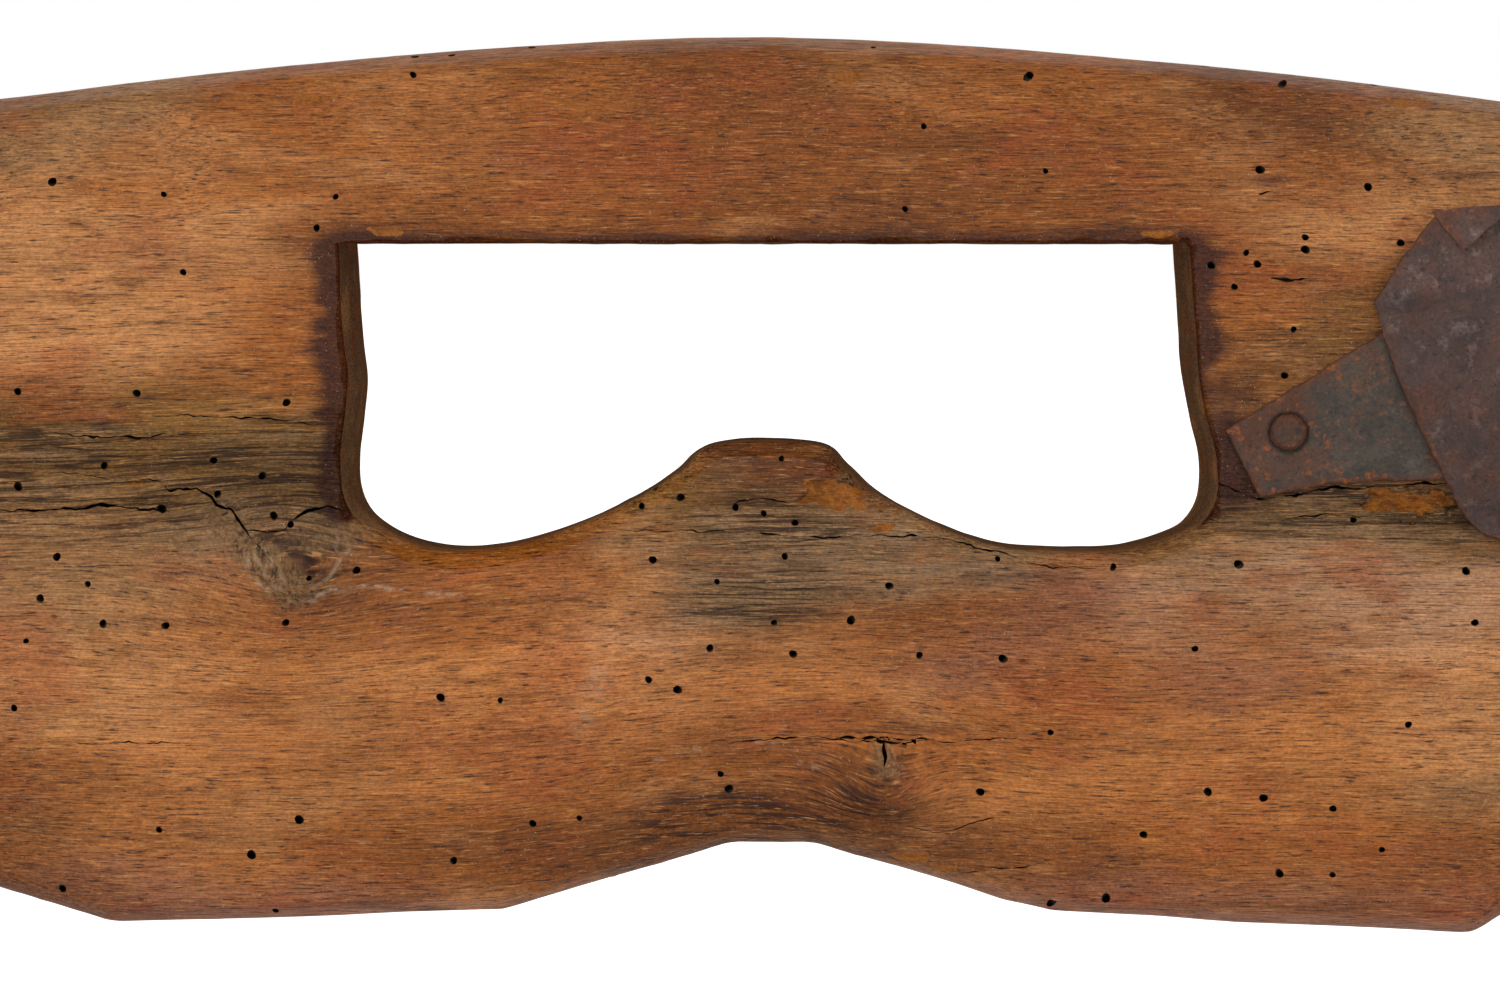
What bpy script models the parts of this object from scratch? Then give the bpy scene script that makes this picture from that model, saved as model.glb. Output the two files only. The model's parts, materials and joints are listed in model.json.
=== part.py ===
"""Ox yoke for a pair of oxen: one hewn beam with a window over the pole notch, two bent-wood bows that slide in
the beam, the wooden keys that hold them up, and an old iron repair riveted and nailed over the right shoulder.

X runs along the beam, -Y is the front, +Z is up. The origin is under the window's top bar, at mid depth, where a
peg would carry the yoke. The design's own heights are counted from the crown of the pole notch.
Run it with: blender --background --factory-startup --python part.py
"""

import math

import bmesh
import bpy
import numpy as np
from mathutils import Matrix, Vector
from mathutils.geometry import delaunay_2d_cdt

# Every size and place below is in millimetres, and MM takes it to Blender's metres.
MM = 0.001
GAP = 0.3  # between pieces that touch

# Beam
HALF_LENGTH = 560.0
CREST_X, CREST_Z = -6.0, 216.7  # the highest point of the beam's long top curve
TOP_DROP, TOP_DROP_AT, TOP_POWER = 16.4, 200.0, 1.6  # how far it falls, how far along, and how the fall grows
HALF_DEPTH = 42.0
BELLY_BULGE, BULGE_Z, BULGE_REACH = 11.0, 22.0, 72.0  # the lobes: how far they swell, their height and reach
VALLEY_DEPTH, VALLEY_REACH = 6.5, 92.0  # the valley between the lobes
LINTEL_HOLLOW, LINTEL_REACH = 5.0, 175.0  # the bar over the window is shaved hollow
SHOULDER_RUN, SHOULDER_FALL = Vector((0.804, -0.594)), 0.42  # the facet from each belly corner up to the neck seat
SHOULDER_STAND, SHOULDER_END = 8.0, 34.0
END_THINNING = 9.0
HEM_CHAMFER = 18.0  # height of the sloped band under the top edge
HEM_SLOPE, BACK_HEM_SLOPE = 0.55, 0.6
WINDOW_LEFT, WINDOW_RIGHT, WINDOW_TOP = -114.3, 112.0, 161.5
WINDOW_EDGE, SILL_EDGE = 1.2, 6.0  # radii: crisp at the window's top and sides, worn round along its sill
UNDER_EDGE, TOP_EDGE, SEAT_EDGE = 9.0, 14.0, 20.0  # radii under the belly, along the top and at the neck seats

# Bows
INNER_LEG_X, OUTER_LEG_X = 245.0, 485.0
BOW_RADIUS = 18.0
BOW_HOLE_RADIUS = 19.2
BOW_BEND_Z = -138.0
BOW_STAND = 84.0  # how far a leg stands above the land its key rests on
SPARE_SLOT_RISE = 44.0  # from a key slot up to the spare one over it
INNER_LAND_Z, OUTER_LAND_Z = 190.0, 142.0
LAND_HALF_WIDTH = 30.0

# Keys
KEY_THICKNESS, KEY_HEIGHT, KEY_TIP_HEIGHT = 9.0, 22.0, 17.0
KEY_FRONT_Y, KEY_BACK_Y = -58.0, 60.0
KEY_HEAD_LENGTH, KEY_HEAD_RISE, KEY_HEAD_THICKNESS = 17.0, 8.0, 14.0
KEY_CLEARANCE = 0.6

# Iron repair
PLATE_THICKNESS = 2.0
COVER_THICKNESS = 1.6
COVER_DOME = 9.0
RIVET_RADIUS, RIVET_HEAD_RADIUS, RIVET_HEAD_HEIGHT = 3.0, 5.0, 1.4
NAIL_RADIUS, NAIL_HEAD_RADIUS, NAIL_HEAD_HEIGHT, NAIL_LENGTH = 1.7, 5.0, 1.8, 14.0
NAIL_POINT = 5.0  # length of a nail's point
HEAD_RIM = 0.4  # height of the upright rim of a hammered head
RIVETS = {"rivet_inner": (139.0, 110.5), "rivet_outer_upper": (286.0, 148.0), "rivet_outer_lower": (286.0, 116.0)}
COVER_NAILS = {
    "cover_nail_1": (211.0, 162.5),
    "cover_nail_2": (240.0, 163.0),
    "cover_nail_3": (240.0, 91.5),
    "cover_nail_4": (201.0, 88.5),
}

# Mesh spacing
OUTLINE_STEP = 14.0
GRID_STEP = 26.0
RIM_RINGS = (3.5, 12.0)


# --- Curves -----------------------------------------------------------------------------------------------------


def smooth_run(points, step=OUTLINE_STEP):
    """A Catmull-Rom curve through the points, about one step between samples, its last point left out."""
    p = np.array(points, float)
    p = np.vstack([2 * p[0] - p[1], p, 2 * p[-1] - p[-2]])
    found = []
    for a, b, c, d in zip(p[:-3], p[1:-2], p[2:-1], p[3:], strict=True):
        count = max(1, round(np.linalg.norm(c - b) / step))
        for t in np.arange(count) / count:
            ahead = 3 * (b - c) + d - a
            found.append(b + 0.5 * t * (c - a + t * (2 * a - 5 * b + 4 * c - d + t * ahead)))
    return found


def top_z(x):
    """Height of the beam's top edge."""
    return CREST_Z - TOP_DROP * (np.abs(x - CREST_X) / TOP_DROP_AT) ** TOP_POWER


# One neck side of the underside, as distances from the middle: from the belly corner over the seat to the end.
NECK_SIDE = (
    (208, -13), (228, -7), (247, 2), (264, 15), (282, 32), (305, 48), (335, 60), (365, 63.5), (395, 61),
    (425, 50), (448, 32), (463, 18), (477, 13), (497, 16), (521, 27), (543, 45), (555, 66), (HALF_LENGTH, 92),
)  # fmt: skip
END_CORNER = (547, 124)
BELLY_LEFT, BELLY_RIGHT = (-178.0, -22.0), (189.0, -24.0)
NOTCH = (
    (-72, -18.5), (-59, -14.6), (-46, -10.6), (-32, -6.6), (-20, -3), (-11, 0), (0, 0), (11, 0), (22, -3.6),
    (35, -7.2), (49, -11.4), (62, -15.8), (76, -18.8),
)  # fmt: skip
# Right wall, the two dips with the hump between them, and the left wall.
WINDOW_SILL = (
    (WINDOW_RIGHT, WINDOW_TOP), (112.5, 140), (113.5, 126), (115.5, 113), (118, 102), (117.5, 92), (113, 85),
    (105, 80.8), (95, 78.5), (85, 77.8), (74, 78), (63, 79.2), (50, 83), (37, 89), (28.5, 94), (21, 100.8),
    (14.5, 106.2), (-2, 108), (-14, 107.2), (-20.5, 104.7), (-26, 99.5), (-34, 94), (-47, 87.4), (-61, 82.2),
    (-72.5, 79.3), (-83.5, 78.3), (-94, 79.4), (-103, 82.7), (-110.5, 88), (-114, 95), (-114.5, 105),
    (-113.3, 114), (-112.3, 124), (-113.3, 136), (WINDOW_LEFT, WINDOW_TOP),
)  # fmt: skip


def mirrored(points):
    return [(-x, z) for x, z in points]


def beam_outline():
    """The beam seen from the front, anticlockwise from the left end of its top edge."""
    left_end, right_end = mirrored([END_CORNER])[0], END_CORNER
    top_x = np.linspace(right_end[0], left_end[0], 2 * round(HALF_LENGTH / 22) + 1)[:-1]
    under_left = smooth_run([left_end, *mirrored(NECK_SIDE)[::-1], BELLY_LEFT])
    under_right = smooth_run([BELLY_RIGHT, *NECK_SIDE, right_end])
    middle = smooth_run([BELLY_LEFT, NOTCH[0]], 26) + smooth_run(NOTCH, 12) + smooth_run([NOTCH[-1], BELLY_RIGHT], 26)
    return under_left + middle + under_right + [(x, float(top_z(x))) for x in top_x]


def window_outline():
    """The window, clockwise from its top left corner."""
    top = [(WINDOW_LEFT, WINDOW_TOP), (WINDOW_RIGHT, WINDOW_TOP)]
    return smooth_run(top, 26) + smooth_run(WINDOW_SILL)


# --- Relief of the beam's faces ---------------------------------------------------------------------------------


def bump(x, middle, half_width):
    """1 at the middle, falling smoothly to 0 half a width away."""
    return np.clip(1 - ((x - middle) / half_width) ** 2, 0, 1) ** 2


def soft_min(a, b, blend):
    h = np.clip(0.5 + 0.5 * (b - a) / blend, 0, 1)
    return b + (a - b) * h - blend * h * (1 - h)


def ease(x, start, end):
    t = np.clip((x - start) / (end - start), 0, 1)
    return t * t * (3 - 2 * t)


def end_thinning(x):
    return END_THINNING * ease(np.abs(x), 500, HALF_LENGTH)


def front_depth(x, z):
    """How far the front face stands before the middle plane: swelling lobes either side of a valley at the belly,
    a sloped band under the top edge, and a broad facet where the belly turns into each neck seat."""
    belly = 1 - ease(np.abs(x), 195, 300)
    depth = HALF_DEPTH + BELLY_BULGE * belly * bump(z, BULGE_Z, BULGE_REACH) * (1 - ease(z, 60, 92))
    depth = depth - VALLEY_DEPTH * bump(x, 0, VALLEY_REACH) * (1 - ease(z, 70, 104))
    depth = depth - LINTEL_HOLLOW * bump(x, 0, LINTEL_REACH) * ease(z, 150, 182)
    past_corner = (np.abs(x) + BELLY_LEFT[0]) * SHOULDER_RUN.x + (z - BELLY_LEFT[1]) * SHOULDER_RUN.y
    shoulder = HALF_DEPTH + SHOULDER_STAND - SHOULDER_FALL * np.minimum(past_corner, SHOULDER_END)
    depth = soft_min(depth, shoulder, 8.0)
    hem = HALF_DEPTH - LINTEL_HOLLOW - HEM_SLOPE * (z - top_z(x) + HEM_CHAMFER)
    return soft_min(depth, hem, 6.0) - end_thinning(x)


def back_depth(x, z):
    """How far the back face stands behind the middle plane: hewn flat, with a narrow sloped band at the top."""
    hem = HALF_DEPTH - BACK_HEM_SLOPE * (z - top_z(x) + 0.6 * HEM_CHAMFER)
    return np.minimum(HALF_DEPTH, hem) - end_thinning(x)


def rim_radius(x, z, on_window):
    """How far the edges are rounded over: least at the window's top and sides, most at the neck seats."""
    if on_window:
        return SILL_EDGE + (WINDOW_EDGE - SILL_EDGE) * ease(z, 90, 112)
    seat = ease(np.abs(x), 215, 285) * (1 - ease(np.abs(x), 455, 500)) * (z < 100)
    top = ease(z - top_z(x), -60, -20)
    return UNDER_EDGE + (SEAT_EDGE - UNDER_EDGE) * seat + (TOP_EDGE - UNDER_EDGE) * top * (1 - seat)


def distance_to(outline, points):
    """The shortest distance from each point to a closed outline."""
    ends = np.array(outline, float)
    starts = np.roll(ends, 1, axis=0)
    along = ends - starts
    offset = points[:, None, :] - starts[None]
    share = np.clip((offset * along).sum(2) / (along**2).sum(1), 0, 1)
    return np.linalg.norm(offset - share[..., None] * along, axis=2).min(1)


def inside(outline, points):
    """True for each point inside a closed outline."""
    ends = np.array(outline, float)
    starts = np.roll(ends, 1, axis=0)
    px, pz = points[:, :1], points[:, 1:]
    spans = (starts[:, 1] > pz) != (ends[:, 1] > pz)
    rise = np.where(ends[:, 1] == starts[:, 1], 1e-9, ends[:, 1] - starts[:, 1])
    crossing = starts[:, 0] + (pz - starts[:, 1]) / rise * (ends[:, 0] - starts[:, 0])
    return ((spans & (px < crossing)).sum(1) % 2) == 1


def rounded_over(depth, distance, radius):
    """A face's depth, brought back round a quarter circle near its rim."""
    short = np.clip(radius - distance, 0, radius)
    return depth - (radius - np.sqrt(np.maximum(radius**2 - short**2, 0)))


def rings_inside(outline, distances, step):
    """Points at set distances to the left of an outline, fewer in the rings that are further in."""
    p = np.array(outline, float)
    along = np.roll(p, -1, axis=0) - np.roll(p, 1, axis=0)
    inward = np.column_stack([-along[:, 1], along[:, 0]]) / np.linalg.norm(along, axis=1)[:, None]
    return np.vstack([(p + inward * d)[:: 2 if d > step / 3 else 1] for d in distances])


def filling_points(outlines, rings, grid_step):
    """Points inside a region: some at set distances from its outlines, and a staggered grid over the rest."""
    near = np.vstack([rings_inside(o, rings, grid_step) for o in outlines])
    low, high = np.min(outlines[0], axis=0), np.max(outlines[0], axis=0)
    columns, rows = (np.arange(a, b, grid_step) for a, b in zip(low, high, strict=True))
    grid = np.array([(x + grid_step / 2 * (row % 2), z) for row, z in enumerate(rows) for x in columns])
    found = []
    for points, least in ((near, 0.8 * rings[0]), (grid, rings[-1] + 0.4 * grid_step)):
        clearance = np.min([distance_to(o, points) for o in outlines], axis=0)
        found.append(points[within(outlines, points) & (clearance > least)])
    return np.vstack(found)


def within(outlines, points):
    """True for each point inside the first outline and outside the others."""
    hits = [inside(o, points) for o in outlines]
    return hits[0] & ~np.any([*hits[1:], np.zeros(len(points), bool)], axis=0)


def relief_solid(outlines, front, back, rim=None, rings=(), grid_step=None):
    """A solid over a flat region, seen from the front, given how far its front stands before the middle plane and
    its back stands behind it. The first outline is the outside, anticlockwise; the rest are holes, clockwise."""
    points = np.vstack([np.array(o, float) for o in outlines])
    edges, start = [], 0
    for o in outlines:
        edges += [(start + i, start + (i + 1) % len(o)) for i in range(len(o))]
        start += len(o)
    if rings:
        points = np.vstack([points, filling_points(outlines, rings, grid_step)])
    flat, _, faces, *_ = delaunay_2d_cdt([Vector(p) for p in points], edges, [], 0, 1e-6)
    flat = np.array([tuple(v) for v in flat])
    middles = np.array([flat[list(f)].mean(0) for f in faces])
    faces = [tuple(f) for f, keep in zip(faces, within(outlines, middles), strict=True) if keep]

    x, z = flat[:, 0], flat[:, 1]
    front_y, back_y = front(x, z), back(x, z)
    for index, o in enumerate(outlines if rim else []):
        radius, distance = rim(x, z, index > 0), distance_to(o, flat)
        front_y, back_y = rounded_over(front_y, distance, radius), rounded_over(back_y, distance, radius)
    mesh = bmesh.new()
    fronts = [mesh.verts.new((a, -y, b)) for a, y, b in zip(x, front_y, z, strict=True)]
    backs = [mesh.verts.new((a, y, b)) for a, y, b in zip(x, back_y, z, strict=True)]
    sides = {}
    for a, b, c in faces:
        mesh.faces.new((fronts[a], fronts[b], fronts[c]))
        mesh.faces.new((backs[c], backs[b], backs[a]))
        for pair in ((a, b), (b, c), (c, a)):
            if pair[::-1] in sides:
                del sides[pair[::-1]]
            else:
                sides[pair] = True
    for a, b in sides:
        mesh.faces.new((fronts[b], fronts[a], backs[a], backs[b]))
    bmesh.ops.delete(mesh, geom=[v for v in mesh.verts if not v.link_faces], context="VERTS")
    bmesh.ops.recalc_face_normals(mesh, faces=mesh.faces)
    return mesh


# --- Other shapes -----------------------------------------------------------------------------------------------


def turned(profile, sides, centre, axis):
    """A solid turned about an axis through centre. The profile is (radius, distance along the axis), end to end."""
    mesh = bmesh.new()
    turn = Vector((0, 0, 1)).rotation_difference(Vector(axis)).to_matrix()
    angles = [2 * math.pi * i / sides for i in range(sides)]
    rings = []
    for radius, along in profile:
        if radius == 0:
            rings.append([mesh.verts.new(Vector(centre) + turn @ Vector((0, 0, along)))])
            continue
        places = [turn @ Vector((radius * math.cos(a), radius * math.sin(a), along)) for a in angles]
        rings.append([mesh.verts.new(Vector(centre) + p) for p in places])
    for low, high in zip(rings[:-1], rings[1:], strict=True):
        for i in range(sides):
            corners = [low[i % len(low)], low[(i + 1) % len(low)], high[(i + 1) % len(high)], high[i % len(high)]]
            mesh.faces.new(list(dict.fromkeys(corners)))
    bmesh.ops.recalc_face_normals(mesh, faces=mesh.faces)
    return mesh


def rod(radius, start, end, sides=20):
    """A plain round rod between two points."""
    along = Vector(end) - Vector(start)
    return turned([(0, 0), (radius, 0), (radius, along.length), (0, along.length)], sides, start, along)


def block(low, high):
    """A plain block between two corners."""
    mesh = bmesh.new()
    bmesh.ops.create_cube(mesh, size=1)
    size, middle = Vector(high) - Vector(low), (Vector(high) + Vector(low)) / 2
    bmesh.ops.transform(mesh, matrix=Matrix.Translation(middle) @ Matrix.Diagonal(size).to_4x4(), verts=mesh.verts)
    return mesh


def swept(path, radius, sides):
    """A round bar along a path in the XZ plane, its two ends eased."""
    mesh, rings = bmesh.new(), []
    points = [Vector(p) for p in path]
    for i, point in enumerate(points):
        along = (points[min(i + 1, len(points) - 1)] - points[max(i - 1, 0)]).normalized()
        across = Vector((0, 1, 0)).cross(along)
        at_end = i in (0, len(points) - 1)
        r = 0.8 * radius if at_end else radius
        angles = (2 * math.pi * k / sides for k in range(sides))
        rings.append([mesh.verts.new(point + r * (math.cos(a) * across + Vector((0, math.sin(a), 0)))) for a in angles])
    for low, high in zip(rings[:-1], rings[1:], strict=True):
        for k in range(sides):
            mesh.faces.new([low[k], low[(k + 1) % sides], high[(k + 1) % sides], high[k]])
    mesh.faces.new(rings[0])
    mesh.faces.new(rings[-1][::-1])
    bmesh.ops.recalc_face_normals(mesh, faces=mesh.faces)
    return mesh


def joined(meshes):
    """Separate closed meshes in one, for use as one cutter."""
    whole = bmesh.new()
    for part in meshes:
        data = bpy.data.meshes.new("part")
        part.to_mesh(data)
        part.free()
        whole.from_mesh(data)
        bpy.data.meshes.remove(data)
    return whole


# --- Objects ----------------------------------------------------------------------------------------------------


def material(name, colour, roughness, metallic=0.0):
    made = bpy.data.materials.new(name)
    made.use_nodes = True
    shader = made.node_tree.nodes["Principled BSDF"]
    shader.inputs["Base Color"].default_value = (*colour, 1)
    shader.inputs["Roughness"].default_value = roughness
    shader.inputs["Metallic"].default_value = metallic
    return made


def add(name, mesh, finish=None, parent=None, pivot=(0, 0, WINDOW_TOP)):
    """An object made of a mesh in the design's millimetres, its own origin at a point of the design."""
    bmesh.ops.transform(mesh, matrix=Matrix.Scale(MM, 4) @ Matrix.Translation(-Vector(pivot)), verts=mesh.verts)
    data = bpy.data.meshes.new(name)
    mesh.to_mesh(data)
    mesh.free()
    obj = bpy.data.objects.new(name, data)
    bpy.context.scene.collection.objects.link(obj)
    if finish:
        data.materials.append(finish)
        data.shade_smooth()
        data.set_sharp_from_angle(angle=math.radians(35))
    obj.location = (Vector(pivot) - Vector((0, 0, WINDOW_TOP))) * MM
    if parent:
        obj.parent = parent
        bpy.context.view_layer.update()
        obj.matrix_parent_inverse = parent.matrix_world.inverted()
    return obj


def cut(obj, name, mesh):
    """Takes a cutter's shape out of an object."""
    cutter = add(name, mesh)
    cutter.hide_render = True
    cutter.display_type = "WIRE"
    boolean = obj.modifiers.new(name, "BOOLEAN")
    boolean.operation = "DIFFERENCE"
    boolean.object = cutter


def soften(obj, width, angle=30):
    bevel = obj.modifiers.new("soften", "BEVEL")
    bevel.width = width * MM
    bevel.limit_method = "ANGLE"
    bevel.angle_limit = math.radians(angle)


def leg_places():
    """{name: (x, height of the land its key rests on)} for the four bow legs."""
    return {
        "left_outer": (-OUTER_LEG_X, OUTER_LAND_Z),
        "left_inner": (-INNER_LEG_X, INNER_LAND_Z),
        "right_inner": (INNER_LEG_X, INNER_LAND_Z),
        "right_outer": (OUTER_LEG_X, OUTER_LAND_Z),
    }


def make_beam(wood):
    outlines = [beam_outline(), window_outline()]
    body = relief_solid(outlines, front_depth, back_depth, rim_radius, RIM_RINGS, GRID_STEP)
    beam = add("yoke_beam", body, wood)
    lands = [
        block((x - LAND_HALF_WIDTH, -80, land), (x + LAND_HALF_WIDTH, 80, land + 60))
        for x, land in leg_places().values()
    ]
    cut(beam, "land_cutter", joined(lands))
    holes = [rod(BOW_HOLE_RADIUS, (x, 0, -60), (x, 0, 300), 24) for x, _ in leg_places().values()]
    cut(beam, "bow_hole_cutter", joined(holes))
    shanks = [rod(RIVET_RADIUS + GAP, (x, -70, z), (x, 70, z), 12) for x, z in RIVETS.values()]
    nail_end = -HALF_DEPTH + NAIL_LENGTH + GAP
    shanks += [rod(NAIL_RADIUS + GAP, (x, -70, z), (x, nail_end, z), 8) for x, z in COVER_NAILS.values()]
    cut(beam, "shank_cutter", joined(shanks))
    return beam


def key_height(y):
    """Height of a key over its underside, at a depth along it."""
    return KEY_HEIGHT + (KEY_TIP_HEIGHT - KEY_HEIGHT) * (y - KEY_FRONT_Y) / (KEY_BACK_Y - KEY_FRONT_Y)


def make_bow(name, legs, wood, beam):
    """A bent bow: two straight legs and a half-round bend, with a key slot and a spare slot in each leg."""
    (low_x, low_land), (high_x, high_land) = sorted(legs)
    middle, radius = (low_x + high_x) / 2, (high_x - low_x) / 2
    bend = [(middle - radius * math.cos(a), 0, BOW_BEND_Z - radius * math.sin(a)) for a in np.linspace(0, math.pi, 17)]
    down = [(low_x, 0, low_land + BOW_STAND - drop) for drop in (0, 4)] + [(low_x, 0, BOW_BEND_Z + 140)]
    up = [(high_x, 0, BOW_BEND_Z + 140)] + [(high_x, 0, high_land + BOW_STAND - drop) for drop in (4, 0)]
    bow = add(name, swept(down + bend + up, BOW_RADIUS, 20), wood, beam, (middle, 0, BOW_BEND_Z))
    slots = []
    half, top = KEY_THICKNESS / 2 + KEY_CLEARANCE, GAP + key_height(-BOW_RADIUS) + GAP
    for x, land in legs:
        for rise in (0, SPARE_SLOT_RISE):
            slots.append(block((x - half, -30, land + rise - 3), (x + half, 30, land + rise + top)))
    cut(bow, name + "_slot_cutter", joined(slots))
    return bow


def make_key(name, x, land, wood, bow):
    """A wooden wedge that lies on the beam, through a bow leg, with its head at the front."""
    low, head_y = land + GAP, KEY_FRONT_Y - KEY_HEAD_LENGTH
    head_top = KEY_HEIGHT + KEY_HEAD_RISE
    sections = (
        (head_y, KEY_HEAD_THICKNESS - 2, head_top - 3),
        (head_y + 4, KEY_HEAD_THICKNESS, head_top),
        (KEY_FRONT_Y - 1, KEY_HEAD_THICKNESS, head_top - 1),
        (KEY_FRONT_Y, KEY_THICKNESS, key_height(KEY_FRONT_Y)),
        (KEY_BACK_Y - 6, KEY_THICKNESS, key_height(KEY_BACK_Y - 6)),
        (KEY_BACK_Y, KEY_THICKNESS - 2, key_height(KEY_BACK_Y) - 4),
    )
    mesh, rings = bmesh.new(), []
    for y, thickness, height in sections:
        half = thickness / 2
        corners = ((-half, low), (half, low), (half, low + height), (-half, low + height))
        rings.append([mesh.verts.new((x + a, y, b)) for a, b in corners])
    for near, far in zip(rings[:-1], rings[1:], strict=True):
        for i in range(4):
            mesh.faces.new([near[i], near[(i + 1) % 4], far[(i + 1) % 4], far[i]])
    mesh.faces.new(rings[0])
    mesh.faces.new(rings[-1][::-1])
    bmesh.ops.recalc_face_normals(mesh, faces=mesh.faces)
    key = add(name, mesh, wood, bow, (x, 0, low))
    soften(key, 1.2)
    return key


# The front mending plate, seen from the front: a tail at its left, spreading to the right past the bow hole.
FRONT_PLATE = (
    (122, 111), (131.5, 92.8), (149, 96.5), (165, 97.4), (182, 97.8), (240, 100), (288, 103), (300, 110),
    (300, 150), (290, 157), (240, 154), (197, 152), (181, 148), (163.5, 137), (142, 123.5),
)  # fmt: skip
BACK_PLATE = ((126, 103), (134, 98), (200, 97), (292, 102), (300, 110), (300, 150), (292, 158), (200, 134), (132, 120))
# The cover plate over it, lifted clear of it in the middle, and where its upper left corner is folded.
COVER_PLATE = (
    (161, 145.8), (169, 123), (178.2, 103), (185, 89.5), (190.4, 83.4), (197, 81), (215, 79.5), (238, 84),
    (254, 98), (261, 124), (258, 150), (247, 166), (225, 173), (200, 171.8), (178.5, 169.6), (170, 158),
)  # fmt: skip
DOME_CENTRE, DOME_HALF_WIDTH, DOME_HALF_HEIGHT = (214.0, 126.0), 46.0, 42.0


def round_holes(places, radius, sides):
    angles = [2 * math.pi * i / sides for i in range(sides)]
    return [[(x + radius * math.cos(a), z - radius * math.sin(a)) for a in angles] for x, z in places]


def make_plate(name, outline, front_y, back_y, holes, iron, beam):
    """A flat plate between two depths, with a hole through it for each shank."""
    outlines = [outline, *round_holes(holes, RIVET_RADIUS + GAP, 10)]
    flat = relief_solid(outlines, lambda x, z: np.full_like(x, -front_y), lambda x, z: np.full_like(x, back_y))
    return add(name, flat, iron, beam)


def cover_lift(x, z):
    """How far the cover plate's underside stands before the beam: over the front plate, and domed in the middle."""
    across = ((x - DOME_CENTRE[0]) / DOME_HALF_WIDTH) ** 2 + ((z - DOME_CENTRE[1]) / DOME_HALF_HEIGHT) ** 2
    return GAP + PLATE_THICKNESS + GAP + COVER_DOME * np.clip(1 - across, 0, 1) ** 1.3


def make_cover(iron, beam):
    outlines = [COVER_PLATE, *round_holes(COVER_NAILS.values(), NAIL_RADIUS + GAP, 8)]
    solid = relief_solid(
        outlines, lambda x, z: HALF_DEPTH + cover_lift(x, z) + COVER_THICKNESS,
        lambda x, z: -HALF_DEPTH - cover_lift(x, z), rings=(5.0,), grid_step=9.0,
    )  # fmt: skip
    return add("cover_plate", solid, iron, beam)


def make_rivet(name, x, z, iron, beam):
    """A rivet through both mending plates and the beam, its two heads hammered down."""
    face = HALF_DEPTH + GAP + PLATE_THICKNESS + GAP
    top = face + RIVET_HEAD_HEIGHT
    half = [(RIVET_RADIUS, face), (RIVET_HEAD_RADIUS, face), (RIVET_HEAD_RADIUS, face + HEAD_RIM),
            (0.8 * RIVET_HEAD_RADIUS, top), (0, top)]  # fmt: skip
    profile = [(radius, -along) for radius, along in reversed(half)] + half
    return add(name, turned(profile, 16, (x, 0, z), (0, 1, 0)), iron, beam)


def make_nail(name, x, z, iron, beam):
    """A nail with a hammered head on the cover plate, going a little way into the beam."""
    under_head = np.array([(x, z), *round_holes([(x, z)], NAIL_HEAD_RADIUS, 12)[0]])
    seat = -HALF_DEPTH - float(cover_lift(under_head[:, 0], under_head[:, 1]).max()) - COVER_THICKNESS - GAP
    point = -HALF_DEPTH + NAIL_LENGTH
    profile = [
        (0, seat - NAIL_HEAD_HEIGHT), (0.6 * NAIL_HEAD_RADIUS, seat - 0.85 * NAIL_HEAD_HEIGHT),
        (NAIL_HEAD_RADIUS, seat - HEAD_RIM), (NAIL_HEAD_RADIUS, seat), (NAIL_RADIUS, seat),
        (NAIL_RADIUS, point - NAIL_POINT), (0, point),
    ]  # fmt: skip
    return add(name, turned(profile, 12, (x, 0, z), (0, 1, 0)), iron, beam)


def main():
    for obj in list(bpy.data.objects):
        bpy.data.objects.remove(obj)
    beam_wood = material("aged_hardwood", (0.33, 0.15, 0.06), 0.55)
    bow_wood = material("bent_ash", (0.34, 0.19, 0.09), 0.5)
    key_wood = material("split_oak", (0.30, 0.19, 0.10), 0.65)
    iron = material("rusted_iron", (0.10, 0.075, 0.065), 0.6, 0.7)

    beam = make_beam(beam_wood)
    legs = leg_places()
    for side in ("left", "right"):
        bow = make_bow(f"bow_{side}", [legs[f"{side}_inner"], legs[f"{side}_outer"]], bow_wood, beam)
        for leg in ("inner", "outer"):
            make_key(f"key_{side}_{leg}", *legs[f"{side}_{leg}"], key_wood, bow)
    near, far = HALF_DEPTH + GAP, HALF_DEPTH + GAP + PLATE_THICKNESS
    make_plate("front_mending_plate", FRONT_PLATE, -far, -near, RIVETS.values(), iron, beam)
    make_plate("back_mending_plate", BACK_PLATE, near, far, RIVETS.values(), iron, beam)
    make_cover(iron, beam)
    for name, (x, z) in RIVETS.items():
        make_rivet(name, x, z, iron, beam)
    for name, (x, z) in COVER_NAILS.items():
        make_nail(name, x, z, iron, beam)


main()
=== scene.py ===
"""Looks for the ox yoke: the hewn beam with its cracks, knots and woodworm, the rusted iron repair, the bent bows
and the whittled keys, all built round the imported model.

Beam work is in millimetres: x along the beam, y to the back, h the height over the crown of the pole notch.
"""

import json
import math

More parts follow.
